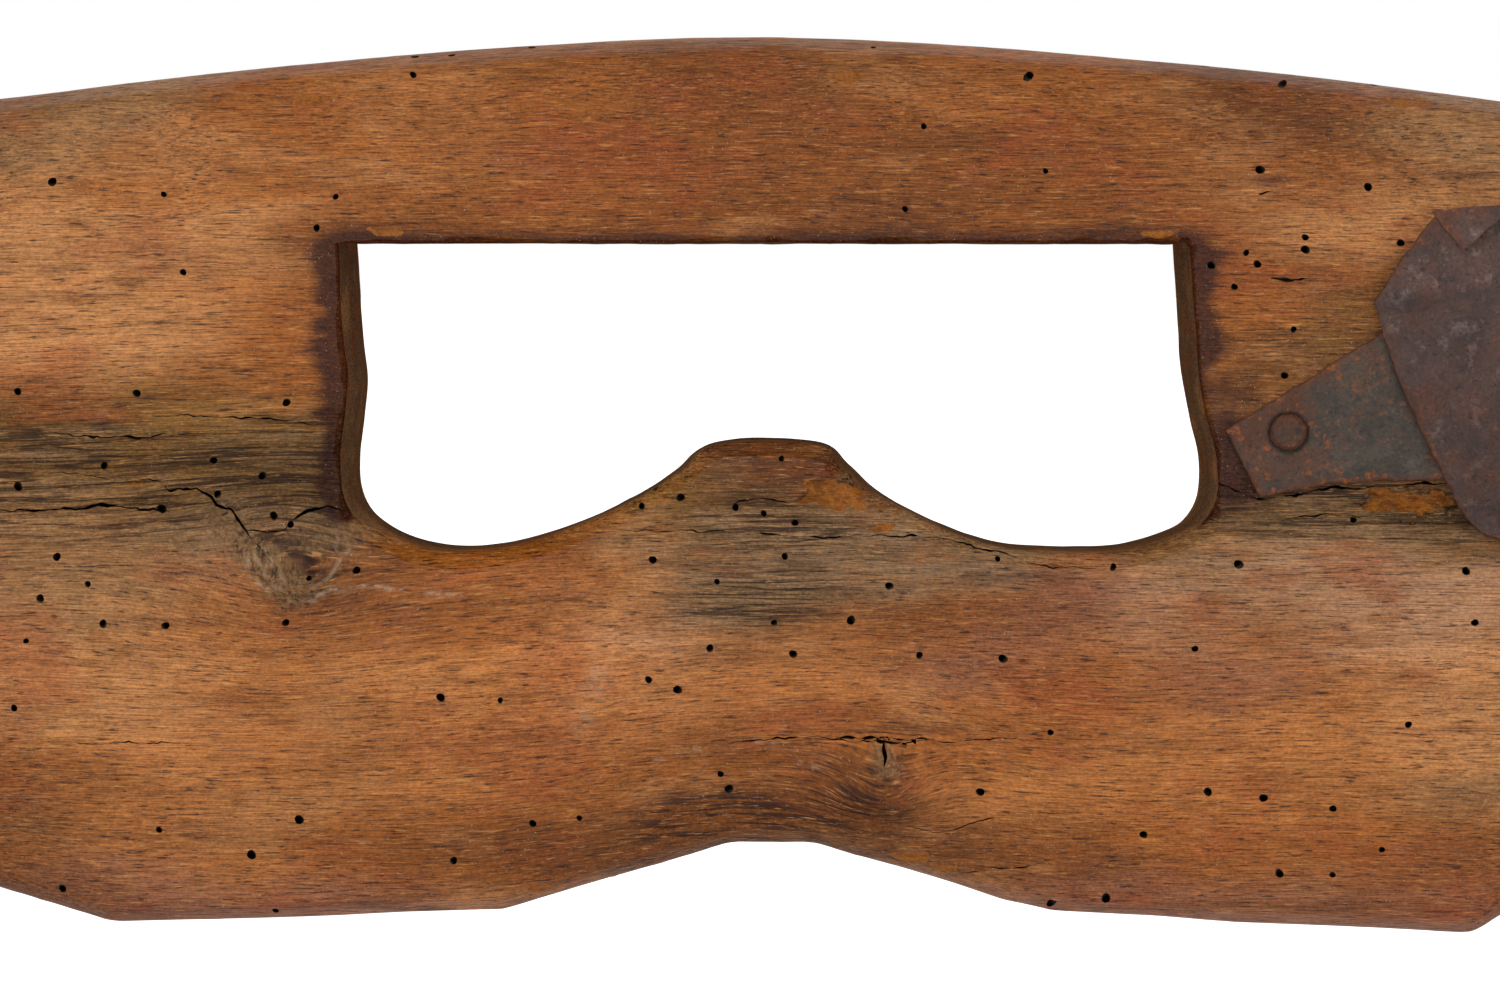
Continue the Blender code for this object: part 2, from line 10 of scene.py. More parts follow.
import bmesh
import bpy
import numpy as np
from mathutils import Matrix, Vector


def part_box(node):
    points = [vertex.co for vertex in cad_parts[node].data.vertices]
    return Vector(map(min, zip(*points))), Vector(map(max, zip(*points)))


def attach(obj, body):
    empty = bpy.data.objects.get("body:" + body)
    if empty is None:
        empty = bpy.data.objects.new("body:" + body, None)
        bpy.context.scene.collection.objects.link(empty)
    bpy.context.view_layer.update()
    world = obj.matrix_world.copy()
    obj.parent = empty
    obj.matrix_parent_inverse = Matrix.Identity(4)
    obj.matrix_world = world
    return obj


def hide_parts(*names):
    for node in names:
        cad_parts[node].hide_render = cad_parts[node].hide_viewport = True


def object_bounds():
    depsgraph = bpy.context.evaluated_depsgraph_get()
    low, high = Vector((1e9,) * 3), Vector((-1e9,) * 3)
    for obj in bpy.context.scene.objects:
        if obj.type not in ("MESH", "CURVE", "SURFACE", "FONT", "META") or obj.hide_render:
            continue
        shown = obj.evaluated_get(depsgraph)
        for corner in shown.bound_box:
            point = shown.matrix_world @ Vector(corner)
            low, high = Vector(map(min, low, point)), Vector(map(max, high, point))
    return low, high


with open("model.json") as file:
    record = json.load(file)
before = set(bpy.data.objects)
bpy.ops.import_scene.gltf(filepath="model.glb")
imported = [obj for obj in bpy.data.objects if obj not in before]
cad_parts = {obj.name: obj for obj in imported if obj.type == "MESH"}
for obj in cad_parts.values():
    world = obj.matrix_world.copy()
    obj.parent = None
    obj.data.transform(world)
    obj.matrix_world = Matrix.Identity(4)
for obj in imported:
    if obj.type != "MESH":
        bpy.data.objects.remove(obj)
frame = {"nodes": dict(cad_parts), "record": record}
cad_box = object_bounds()

MM = 0.001
MOUNTS = {mount["name"]: mount for mount in frame["record"]["mounts"]}
NOTCH_Z = MOUNTS["pole_notch"]["pos_m"][2]
HALF_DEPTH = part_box("yoke_beam")[1].y / MM
# The beam's mesh size, and how often its worn parts are halved.
COARSE, FINE_LEVELS = ((2.5, 2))
FINE_X = -6.0  # x of the middle of the finely worked zone
FINE_HALF = 222.0  # half its length


def place(x, y, h):
    """A point of the frame, in metres, from beam millimetres."""
    return Vector((x * MM, y * MM, h * MM + NOTCH_Z))


# --- Colours ----------------------------------------------------------------------------------------------------


def linear(code):
    """Linear red, green and blue of a colour as it looks, such as "a57345"."""
    shown = np.array([int(code[i : i + 2], 16) for i in (0, 2, 4)]) / 255
    return np.where(shown <= 0.04045, shown / 12.92, ((shown + 0.055) / 1.055) ** 2.4)


# What a soft white studio's reflection adds to every dull surface; tones are given as they look under it.
VEIL = 0.014

TONES = {
    name: np.maximum(linear(code) - VEIL, 0.004)
    for name, code in {
        "honey": "a8744a",
        "amber": "a5693c",
        "chestnut": "945e36",
        "russet": "8b542d",
        "umber": "764728",
        "dark": "663f27",
        "plum": "52362c",
        "fawn": "8d6644",
        "olive": "75532f",
        "moss": "604830",
        "stone": "7c6148",
        "peach": "a2785a",
        "mauve": "82553f",
        "char": "2b2017",
        "stain_and_shade": "452c20",
        "dust": "a48f7a",
        # The window's walls and sill: partly their own darker colour, partly painted shade of the opening.
        "wall": "5e4c3e",
        "sill": "6a5340",
        "raw": "8c5829",
        "straw": "c9935a",
        "flush": "84452b",
        "slate": "403a33",
        "iron": "4c3a35",
        "bloom": "776963",
        "rust": "63391f",
        "rivet": "4a3429",
        "ember": "8a4c26",
    }.items()
}

# --- Noise and shapes in numpy ----------------------------------------------------------------------------------


def noise(points, size, seed=0):
    """Smooth noise, -1 to 1, at each point; size is a cell's size along each axis."""
    p = np.asarray(points, float) / np.asarray(size, float)
    cell = np.floor(p).astype(np.int64)
    t = p - cell
    t = t * t * (3 - 2 * t)
    total = np.zeros(len(p))
    for corner in np.ndindex(*(2,) * p.shape[1]):
        key = np.full(len(p), seed * 7919 + 101, np.int64)
        weight = np.ones(len(p))
        for axis, step in enumerate(corner):
            key = (key ^ (cell[:, axis] + step)) * 1103515245 + 12345
            key = (key ^ (key >> 15)) & 0x7FFFFFFF
            weight *= t[:, axis] if step else 1 - t[:, axis]
        total += weight * ((key * 2654435761 >> 8) % 65536) / 32767.5
    return total - 1


def ease(x, start, end):
    t = np.clip((x - start) / (end - start), 0, 1)
    return t * t * (3 - 2 * t)


def spot(x, h, middle, radii, power=1.0):
    """1 at the middle of an oval, falling smoothly to nothing some way past its radii."""
    across = ((x - middle[0]) / radii[0]) ** 2 + ((h - middle[1]) / radii[1]) ** 2
    return np.exp(-(across**power))


def new_mesh_object(name, mesh):
    obj = bpy.data.objects.new(name, mesh)
    bpy.context.scene.collection.objects.link(obj)
    return obj


def points_of(mesh):
    co = np.empty(len(mesh.vertices) * 3, np.float32)
    mesh.vertices.foreach_get("co", co)
    return co.reshape(-1, 3).astype(float)


def set_points(mesh, points):
    mesh.vertices.foreach_set("co", points.astype(np.float32).ravel())
    mesh.update()


def normals_of(mesh):
    found = np.empty(len(mesh.vertices) * 3, np.float32)
    mesh.vertex_normals.foreach_get("vector", found)
    return found.reshape(-1, 3).astype(float)


def edges_of(mesh):
    found = np.empty(len(mesh.edges) * 2, np.int32)
    mesh.edges.foreach_get("vertices", found)
    return found.reshape(-1, 2)


def neighbour_mean(values, edges):
    """Each vertex's mean over its neighbours."""
    total, count = np.zeros_like(values), np.zeros(len(values))
    for a, b in ((0, 1), (1, 0)):
        for k in range(values.shape[1]):
            total[:, k] += np.bincount(edges[:, a], values[edges[:, b], k], len(values))
        count += np.bincount(edges[:, a], minlength=len(values))
    return total / np.maximum(count, 1)[:, None]


def apply_modifiers(obj):
    """Gives the object the mesh that its modifiers make, and takes them off."""
    graph = bpy.context.evaluated_depsgraph_get()
    made = bpy.data.meshes.new_from_object(obj.evaluated_get(graph))
    obj.modifiers.clear()
    obj.data = made
    return made


def remeshed(obj, voxel):
    modifier = obj.modifiers.new("remesh", "REMESH")
    modifier.mode = "VOXEL"
    modifier.voxel_size = voxel * MM
    return apply_modifiers(obj)


def halve(mesh, chosen):
    """Splits each face whose vertices are all chosen into four."""
    work = bmesh.new()
    work.from_mesh(mesh)
    work.verts.ensure_lookup_table()
    edges = [e for e in work.edges if chosen[e.verts[0].index] and chosen[e.verts[1].index]]
    bmesh.ops.subdivide_edges(work, edges=edges, cuts=1, use_grid_fill=True)
    work.to_mesh(mesh)
    work.free()


def set_attribute(mesh, name, values):
    """A number, a vector or a colour at each vertex, for materials to read."""
    values = np.asarray(values, np.float32)
    kind = "FLOAT" if values.ndim == 1 else "FLOAT_VECTOR"
    field = "value" if values.ndim == 1 else "vector"
    mesh.attributes.new(name, kind, "POINT").data.foreach_set(field, values.ravel())


# --- Camera, light and floor ------------------------------------------------------------------------------------

VIEW_MIDDLE = place(-5.9, -33, 92.1)
VIEW_WIDTH = 1500 * 0.27 * MM
VIEW_DISTANCE = 3.2
VIEW_RISE = 0.058  # the camera's height over the middle of its picture


def make_camera():
    camera = bpy.data.cameras.new("camera")
    camera.sensor_width = 36
    camera.lens = 36 * VIEW_DISTANCE / VIEW_WIDTH
    camera.clip_end = 1000
    obj = bpy.data.objects.new("camera", camera)
    bpy.context.scene.collection.objects.link(obj)
    obj.location = VIEW_MIDDLE + Vector((0, -VIEW_DISTANCE, VIEW_RISE))
    obj.rotation_euler = (VIEW_MIDDLE - obj.location).to_track_quat("-Z", "Y").to_euler()
    bpy.context.scene.camera = obj


def make_light(name, where, target, size, power, colour=(1, 1, 1)):
    light = bpy.data.lights.new(name, "AREA")
    light.shape = "RECTANGLE"
    light.size, light.size_y = size
    light.energy = power
    light.color = colour
    obj = bpy.data.objects.new(name, light)
    bpy.context.scene.collection.objects.link(obj)
    obj.location = where
    obj.rotation_euler = (Vector(target) - Vector(where)).to_track_quat("-Z", "Y").to_euler()


def make_stage():
    """A pale floor under the bows that whitens into the distance by a painted glow, its emission growing with
    distance, and a studio that is white at the horizon.
    """
    world = bpy.data.worlds.new("studio")
    bpy.context.scene.world = world
    world.use_nodes = True
    nodes, links = world.node_tree.nodes, world.node_tree.links
    around, lamp, seen = nodes["Background"], nodes.new("ShaderNodeLightPath"), nodes.new("ShaderNodeMapRange")
    around.inputs["Color"].default_value = (1, 1, 1, 1)
    links.new(lamp.outputs["Is Camera Ray"], seen.inputs["Value"])
    links.new(seen.outputs[0], around.inputs["Strength"])
    seen.inputs["To Min"].default_value, seen.inputs["To Max"].default_value = 0.42, 1.0

    mesh = bpy.data.meshes.new("floor")
    half, floor_z = 400.0, cad_box[0].z - 0.001
    corners = [(-half, -half, floor_z), (half, -half, floor_z), (half, half, floor_z), (-half, half, floor_z)]
    mesh.from_pydata(corners, [], [(0, 1, 2, 3)])
    pale = bpy.data.materials.new("pale_floor")
    pale.use_nodes = True
    nodes, links = pale.node_tree.nodes, pale.node_tree.links
    shader = nodes["Principled BSDF"]
    shader.inputs["Base Color"].default_value = (0.86, 0.86, 0.86, 1)
    shader.inputs["Roughness"].default_value = 0.9
    shader.inputs["Emission Color"].default_value = (1, 1, 1, 1)
    # Painted glow: the floor's emission grows with distance from the middle, so it whitens far off.
    where, length, distance_glow = (nodes.new(f"ShaderNode{kind}") for kind in ("NewGeometry", "VectorMath", "MapRange"))
    length.operation = "LENGTH"
    links.new(where.outputs["Position"], length.inputs[0])
    links.new(length.outputs["Value"], distance_glow.inputs["Value"])
    distance_glow.interpolation_type = "SMOOTHSTEP"
    for socket, value in zip(distance_glow.inputs[1:5], (0.7, 3.4, 0.25, 0.95), strict=True):
        socket.default_value = value
    links.new(distance_glow.outputs[0], shader.inputs["Emission Strength"])
    mesh.materials.append(pale)
    new_mesh_object("floor", mesh)


def make_lights():
    middle = VIEW_MIDDLE
    make_light("overhead", middle + Vector((0, -0.9, 1.7)), middle, (2.2, 1.0), 15)
    make_light("front_left", middle + Vector((-1.4, -2.2, 0.9)), middle, (1.4, 1.4), 27)
    make_light("front_right", middle + Vector((1.5, -2.2, 0.6)), middle, (1.4, 1.4), 17)
    make_light("rear", middle + Vector((0.3, 2.4, 1.2)), middle, (2.0, 1.4), 9)


make_camera()
make_stage()
make_lights()
bpy.context.scene.view_settings.view_transform = "Standard"

# --- The beam's features ----------------------------------------------------------------------------------------

# Cracks: half-width, depth, then points (x, h) along each on the front face.
CRACKS = {
    "old_split": (0.32, 9, [(-214, 89.2), (-200, 89.8), (-190, 89.5), (-181, 90.4), (-168, 90.0), (-160, 89.3)]),
    "split_branch": (
        0.3, 7,
        [(-171, 97.7), (-165, 96.8), (-162.3, 94.8), (-155, 95.6), (-151, 93.4), (-149.6, 91.2), (-145.5, 90.2),
         (-143.2, 86.8), (-140.2, 82.4), (-136.9, 78.2), (-132.8, 74.2)],
    ),
    "split_end": (0.4, 9, [(-142, 84), (-136, 83.6), (-131, 84.6), (-128.3, 87.4), (-125.2, 89.2), (-120, 90),
                            (-115.5, 89.6)]),
    "sill_crack": (
        0.24, 6,
        [(-43, 84.4), (-29, 84.3), (-18, 83.7), (-5, 83.3), (6.5, 82.9), (22, 82.7), (34, 82.3), (50, 81.1),
         (60.5, 78.7), (70, 75), (83, 74), (96, 75)],
    ),
    "hump_crack": (0.22, 3, [(-12, 91.6), (-4, 92.3), (4, 91.9), (11, 92.4)]),
    "heart_crack": (
        0.24, 5,
        [(-21.5, 31.2), (-18, 28.2), (-11, 26.9), (-2, 27.6), (5, 29.0), (14, 28.7), (22, 27.8), (29, 28.3),
         (36, 27.6), (45, 27.7), (57, 28), (70, 28.5)],
    ),
    "heart_lens": (0.6, 3, [(17, 28.6), (24, 28.2), (31, 28.3), (41, 27.8)]),
    "seat_crack": (0.22, 5, [(-187, 27.2), (-178, 26.7), (-168, 27.1), (-158, 26.8)]),
    "lower_crack": (0.2, 4, [(50.5, -7.7), (57, -7.2), (64, -6.4), (74.5, -4.8)]),
    "curved_crack": (0.18, 4, [(36, 5.4), (43, 3.4), (50, 4), (57, 5.8), (69, 9.2)]),
    # Along the strap's lower edge: a thin gap whose near-black inside paints the shadow under the strap.
    "strap_crack": (0.34, 8, [(115.5, 100.4), (119, 97.2), (124, 95), (130.5, 92.4), (141, 93.2), (152, 95.6),
                             (161, 95.8), (173, 96.4), (190, 96.6), (226, 98)]),
    "pit_right": (0.5, 2, [(134.2, 151.7), (140, 151.9), (145.3, 152.2)]),
    "pit_high": (0.45, 2, [(131, 175), (134, 175.2), (137, 174.8)]),
    "strap_crack_low": (0.22, 5, [(137, 87), (148, 88.1), (158, 87.7), (167, 87.9)]),
    "groove_high": (0.24, 2.2, [(-167, 115.4), (-152, 114.6), (-136, 113.7), (-118, 112.9)]),
    "groove_middle": (0.3, 2.2, [(-197, 110), (-186, 109.2), (-177, 108.9), (-167, 109.8), (-156, 110.4)]),
    "groove_low": (0.22, 2, [(-193, 99.6), (-181, 98.8), (-176, 97.6), (-169, 97.2)]),
}  # fmt: skip
CROSS_CRACKS = {"heart_cross": (0.55, 6, [(30.2, 28.2), (30.0, 25.4), (30.6, 23.0), (30.1, 20.4)])}
# Woodworm exits that stand out, (x, h); the rest are strewn by chance.
WORM_HOLES = [
    (-194, 178), (-164, 174.6), (-158.5, 153.6), (-203, 121.5), (-171, 121), (-130.7, 118.5), (-179.8, 101.5),
    (-150.4, 102.9), (-137.2, 98.8), (-203, 95.9), (-149.3, 93.8), (-117.5, 173.9), (-122.6, 165.5), (-97, 207),
    (-164.4, 89.9), (-134.2, 88), (-129.6, 85.7), (-192.5, 77), (-184.1, 69.7), (-196.8, 65.9), (-179.8, 59.1),
    (-163, 58.6), (-200.5, 54.5), (-203.6, 36.5), (-124.5, 71.3), (-130.7, 59.4), (-111.8, 73.4), (-89, 39.4),
    (-73, 38.6), (-33.2, 44), (-25.4, 41.3), (-164.7, 3.8), (-127, 6.5), (-139.9, -3), (-85.6, -4.6),
    (-64.3, 5.4), (-51.8, 6.8), (-133.7, -18.4), (-191, -12.4), (-13.8, 18.6), (-11.6, 14.6), (-32.1, 76.1),
    (-16.7, 52.4), (-14.8, 70.2), (-24.6, 92.9), (69.4, 206.6), (73.7, 180.9), (41, 193), (35.9, 170.6),
    (131.5, 181.2), (138.2, 204.6), (160.7, 176.6), (143.6, 163), (143.6, 159.7), (127.7, 158.8), (130.7, 155.8),
    (118.3, 155.5), (124.5, 149.6), (140.4, 138.2), (169.3, 161.5), (138, 125.8), (2.6, 103.4), (6.2, 86.1),
    (3.5, 77), (31.6, 69.1), (0.6, 59.2), (21.3, 59.9), (5.7, 50.8), (39.7, 50.5), (62.1, 49.7), (60.8, 76.4),
    (113.7, 52.4), (74.8, 30), (56, 13.9), (117.1, 14), (132, 12.4), (150.7, 9.5), (99.9, 2.4), (170.9, 32.1),
    (163.9, -1.6), (136.4, -8), (150.7, -8.4), (75.3, -16.2), (89.9, -14.9), (189, 59.4), (186.8, 73.2),
    (125.6, 75), (156.6, 86.9), (114.9, 114.5), (-32, 95.4), (-35, 90.6), (-9.8, 90.2), (-2.2, 88.6), (91.8, 74.2),
]  # fmt: skip
KNOT = (29.0, 15.0)
SWIRL = (-129.0, 76.0)
# The window's outline in its middle plane, from its top right corner down and round to its top left one.
WINDOW = (
    (110.8, 161.5), (112.2, 140), (113.2, 126), (115.5, 113), (118, 102), (117.5, 92), (113, 85), (105, 81.2),
    (95, 78.7), (85, 78.1), (74, 78.3), (63, 79.2), (50, 82.8), (37, 88.9), (28.5, 94.1), (21, 101), (14.5, 106.6),
    (-2, 108), (-14, 107.2), (-20.5, 104.7), (-26, 99.5), (-34, 94), (-47, 87.4), (-61, 82.2), (-72.5, 79.3),
    (-83.5, 78.3), (-94, 79.4), (-103, 82.7), (-109.8, 88), (-113, 95), (-113.4, 105), (-112.2, 114),
    (-111.3, 124), (-112.6, 136), (-114.2, 161.5),
)  # fmt: skip
WINDOW_SIDES = (-117.3, 114.0)  # x of the window's two edges on the front face
WINDOW_TOP_H = -NOTCH_Z / MM


def grain_of(x, y, h):
    """Where each point lies in the timber's grain: along it and across it. Fibres pass round knots and over the
    notch, and wander a little everywhere."""
    p = np.column_stack([x, y, h])
    across = h + 2.6 * noise(p, (150, 90, 60), 1) + 0.8 * noise(p, (46, 40, 22), 2)
    across -= 7.0 * np.exp(-((x / 62) ** 2)) * ease(h, 62, 0)
    across += 7.0 * np.exp(-(((x - KNOT[0]) / 15) ** 2)) * ease(h, 2, 14) * ease(h, 31, 20)
    for (kx, kh), radius in ((KNOT, 7.0), (SWIRL, 12.0)):
        dx, dh = (x - kx) / 1.35, h - kh
        across -= dh * radius**2 / (dx**2 + dh**2 + 1.3 * radius**2)
    along = x + 6 * noise(p, (60, 60, 30), 3)
    return along, across


def weathering(x, y, h):
    """How far the surface is weathered to rough grey: beside the old split, at the swirl, the hump, the strap."""
    p = np.column_stack([x, y, h])
    ragged = 5.0 * noise(p, (38, 40, 9), 11) + 2.4 * noise(p, (14, 20, 3.2), 12)
    front = ease(y, 6, -14)
    band = ease(h + ragged, 83.5, 87) * ease(h + ragged, 121, 104) * ease(x, -108, -119)
    below = 0.55 * ease(h + 0.5 * ragged, 75, 84) * ease(h + 0.5 * ragged, 92, 86) * ease(x, -106, -122)
    swirl = spot(x + ragged, h, SWIRL, (15, 13), 1.6)
    hump = 0.75 * spot(x + 2 * ragged, h + 0.5 * ragged, (0, 86), (30, 10), 2)
    under_hump = 0.8 * spot(x + 3 * ragged, h + 0.5 * ragged, (-2, 66), (26, 10), 1.5)
    hump = np.maximum(hump, 0.6 * spot(x + 2 * ragged, h + 0.5 * ragged, (32, 79), (15, 3), 1.5))
    strap = spot(x + ragged, h + 0.3 * ragged, (158, 89), (52, 9.5), 2)
    seat = 0.35 * spot(x, h, (-212, 8), (34, 44), 2)
    notch = 0.45 * spot(x + ragged, h + 0.5 * ragged, (-6, 2), (40, 9), 1.6)
    found = np.max([band, below, swirl, hump, under_hump, strap, seat, notch], axis=0) * front
    far = 0.8 * ease(noise(p, (130, 70, 16), 13) + 0.5 * noise(p, (50, 40, 6), 14), 0.35, 0.75)
    away = np.maximum(ease(np.abs(x - FINE_X), 215, 250), ease(y, 0, 20))
    return np.clip(np.maximum(found, far * away), 0, 1)


# Broken places, where raw wood shows: middle, radii, depth.
BREAKS = (
    ((17, 93.5), (8.0, 4.8), 1.7), ((30.5, 85), (3.2, 1.6), 0.9), ((173, 91.5), (12, 4.4), 1.9),
    ((-125, 200.3), (6, 1.1), 0.4), ((109, 206.4), (4, 1.0), 0.4), ((172, 199.5), (7, 1.0), 0.4),
    ((-70, 197.5), (3, 0.8), 0.3), ((20, 206), (5, 1.4), 0.5), ((-104, 164.6), (5.5, 1.5), 0.8),
    ((104, 163.6), (6.5, 1.2), 0.8), ((38, -3.5), (6, 1.9), 1.0), ((46, -6.5), (4, 1.4), 0.8),
    ((-62, -12), (4, 1.6), 0.8), ((-171, 96.6), (4.2, 1.0), 0.7),
)  # fmt: skip


def breaks(x, y, h):
    """(how far wood is broken out, in millimetres; how raw it looks)."""
    p = np.column_stack([x, y, h])
    ragged = 0.5 * noise(p, (4, 4, 2.2), 21) + 0.35 * noise(p, (1.8, 3, 1.1), 22)
    depth, raw = np.zeros_like(x), np.zeros_like(x)
    for middle, radii, deepest in BREAKS:
        across = np.hypot((x - middle[0]) / radii[0], (h - middle[1]) / radii[1]) + ragged
        shape = ease(across, 1.0, 0.75) * ease(y, -8, -20)
        depth = np.maximum(depth, deepest * shape * (0.75 + 0.5 * noise(p, (3, 3, 1.4), 23)))
        raw = np.maximum(raw, shape)
    return depth, raw


def grooves(x, y, h):
    """0 to 1: the thin furrows that weathering opens between the fibres."""
    along, across = grain_of(x, y, h)
    g = np.column_stack([along, y, across])
    broad, fine = noise(g, (52, 14, 4.2), 71), noise(g, (23, 9, 2.7), 72)
    here, there = (ease(noise(g, (36, 14, 9), seed), -0.35, 0.25) for seed in (73, 74))
    return np.maximum(np.exp(-((broad / 0.2) ** 2)) * here, 0.75 * np.exp(-((fine / 0.22) ** 2)) * there)


def crumbling(x, y, h):
    """0 to 1: where the wood has gone to crumbs, at the swirl beside the split and here and there on the hump."""
    p = np.column_stack([x, y, h])
    ragged = 4.0 * noise(p, (12, 12, 9), 75) + 2.0 * noise(p, (4, 6, 3), 76)
    share = np.clip(((x + 148) * 20 - (h - 87) * 19) / (20**2 + 19**2), 0, 1)
    found = 0.9 * ease(np.hypot(x + 148 - 20 * share, h - 87 + 19 * share) / 5.5 + 0.1 * ragged, 1.2, 0.5)
    found = np.maximum(found, ease(np.hypot((x + 121) / 12, (h - 82) / 3.5) + 0.09 * ragged, 1.1, 0.6) * 0.6)
    found = np.maximum(found, ease(np.hypot((x - 20) / 5, (h - 97.5) / 4) + 0.09 * ragged, 1.1, 0.6) * 0.9)
    found = np.maximum(found, ease(np.hypot((x - 18) / 17, (h - 66.5) / 2.0) + 0.07 * ragged, 1.1, 0.6) * 0.6)
    found = np.maximum(found, ease(np.hypot((x - 30) / 4.5, (h - 22) / 6) + 0.09 * ragged, 1.1, 0.6) * 0.7)
    return found * ease(y, -5, -20)


# Pale rubbed lines and scuffs on the front face: half-width, strength, then points (x, h).
PALE_MARKS = (
    (0.6, 0.9, ((-143.4, 79.7), (-139.6, 71), (-131.8, 65.1), (-125.3, 64.5), (-119.3, 68), (-107.2, 69.4),
                (-95.6, 67.2), (-84, 66.4))),
    (0.5, 0.7, ((-140, 78), (-134.5, 69.4), (-127, 66.6), (-119.5, 71), (-115, 78), (-110.5, 81.6))),
    (0.5, 0.6, ((-137, 79), (-131, 70.8), (-124.5, 70), (-119, 75.6), (-117, 82))),
    (2.6, 0.55, ((-45.5, 49), (-47.5, 43), (-50, 37), (-51, 32))),
    (0.3, 0.8, ((-31, 23.2), (-24, 23.8), (-18, 26.0))), (0.3, 0.8, ((-8, 30.6), (-4, 28), (1, 26.4))),
    (0.3, 0.7, ((7, 21.5), (12, 19.8), (15, 20.6))), (0.3, 0.8, ((-43.5, -8.6), (-40, -11), (-37, -13.5))),
    (0.3, 0.9, ((-190, 161.5), (-187.5, 158.3), (-187, 155))),
)  # fmt: skip


def pale_marks(x, y, h):
    p = np.column_stack([x, h]) + 0.5 * noise(np.column_stack([x, y, h]), (6, 6, 6), 77)[:, None]
    found = np.zeros(len(x))
    for half_width, strength, route in PALE_MARKS:
        for a, b in zip(route[:-1], route[1:], strict=True):
            a, b = np.array(a, float), np.array(b, float)
            share = np.clip(((p - a) @ (b - a)) / ((b - a) @ (b - a)), 0, 1)
            off = np.linalg.norm(p - a - share[:, None] * (b - a), axis=1)
            found = np.maximum(found, strength * np.exp(-((off / half_width) ** 2) / 1.2))
    broken = ease(noise(np.column_stack([x, y, h]), (3.5, 5, 3.5), 78), -0.7, 0.2)
    return 0.8 * found * broken * ease(y, -10, -25)


def beam_relief(x, y, h, weather):
    """How far each point of the hewn, worn surface stands out along its normal, in millimetres."""
    p = np.column_stack([x, y, h])
    along, across = grain_of(x, y, h)
    g = np.column_stack([along, y, across])
    hewn = 0.55 * noise(p, (70, 55, 34), 31) + 0.3 * noise(p, (32, 30, 18), 32)
    fibres = 0.05 * noise(g, (16, 5, 1.8), 33)
    ridges = noise(g, (26, 4, 2.4), 34) + 0.6 * noise(g, (12, 3, 1.3), 35)
    crumble = noise(p, (3.0, 3.0, 2.4), 36)
    patchy = 0.55 + 0.45 * noise(p, (34, 30, 12), 38)
    rough = weather * (0.2 * patchy * ridges - 0.16 * np.abs(crumble) - 0.1 - 0.4 * grooves(x, y, h))
    torn_edge = 1.1 * noise(p, (16, 30, 9), 39) + 0.5 * noise(p, (4, 9, 3), 40)
    rough -= 1.1 * ease(h + torn_edge, 85.4, 86.6) * ease(h, 112, 90) * ease(x, -112, -128) * ease(y, 0, -14)
    shown = ease(np.abs(x - FINE_X), 234, 205)
    hewn += (0.75 * ease(h, 180, 205) + 0.9 * ease(x, 100, 125) * ease(h, 6, -12)) * shown
    swirl = crumbling(x, y, h)
    knot = spot(x, h, KNOT, (8, 8), 1) * ease(y, 0, -20)
    knotty = swirl * (0.4 * crumble + 0.4 * noise(p, (1.7, 1.7, 1.4), 37) - 0.4) + knot * (0.2 * crumble - 0.5)
    knotty += 0.25 * pale_marks(x, y, h)
    broken = -breaks(x, y, h)[0]
    relief = hewn + fibres + rough + knotty + broken
    from_leg = np.hypot(np.abs(np.abs(x) - NECK_X) - BOW_BEND_RADIUS, y)
    return relief - ease(from_leg, 24, 20) * np.maximum(relief, 0)


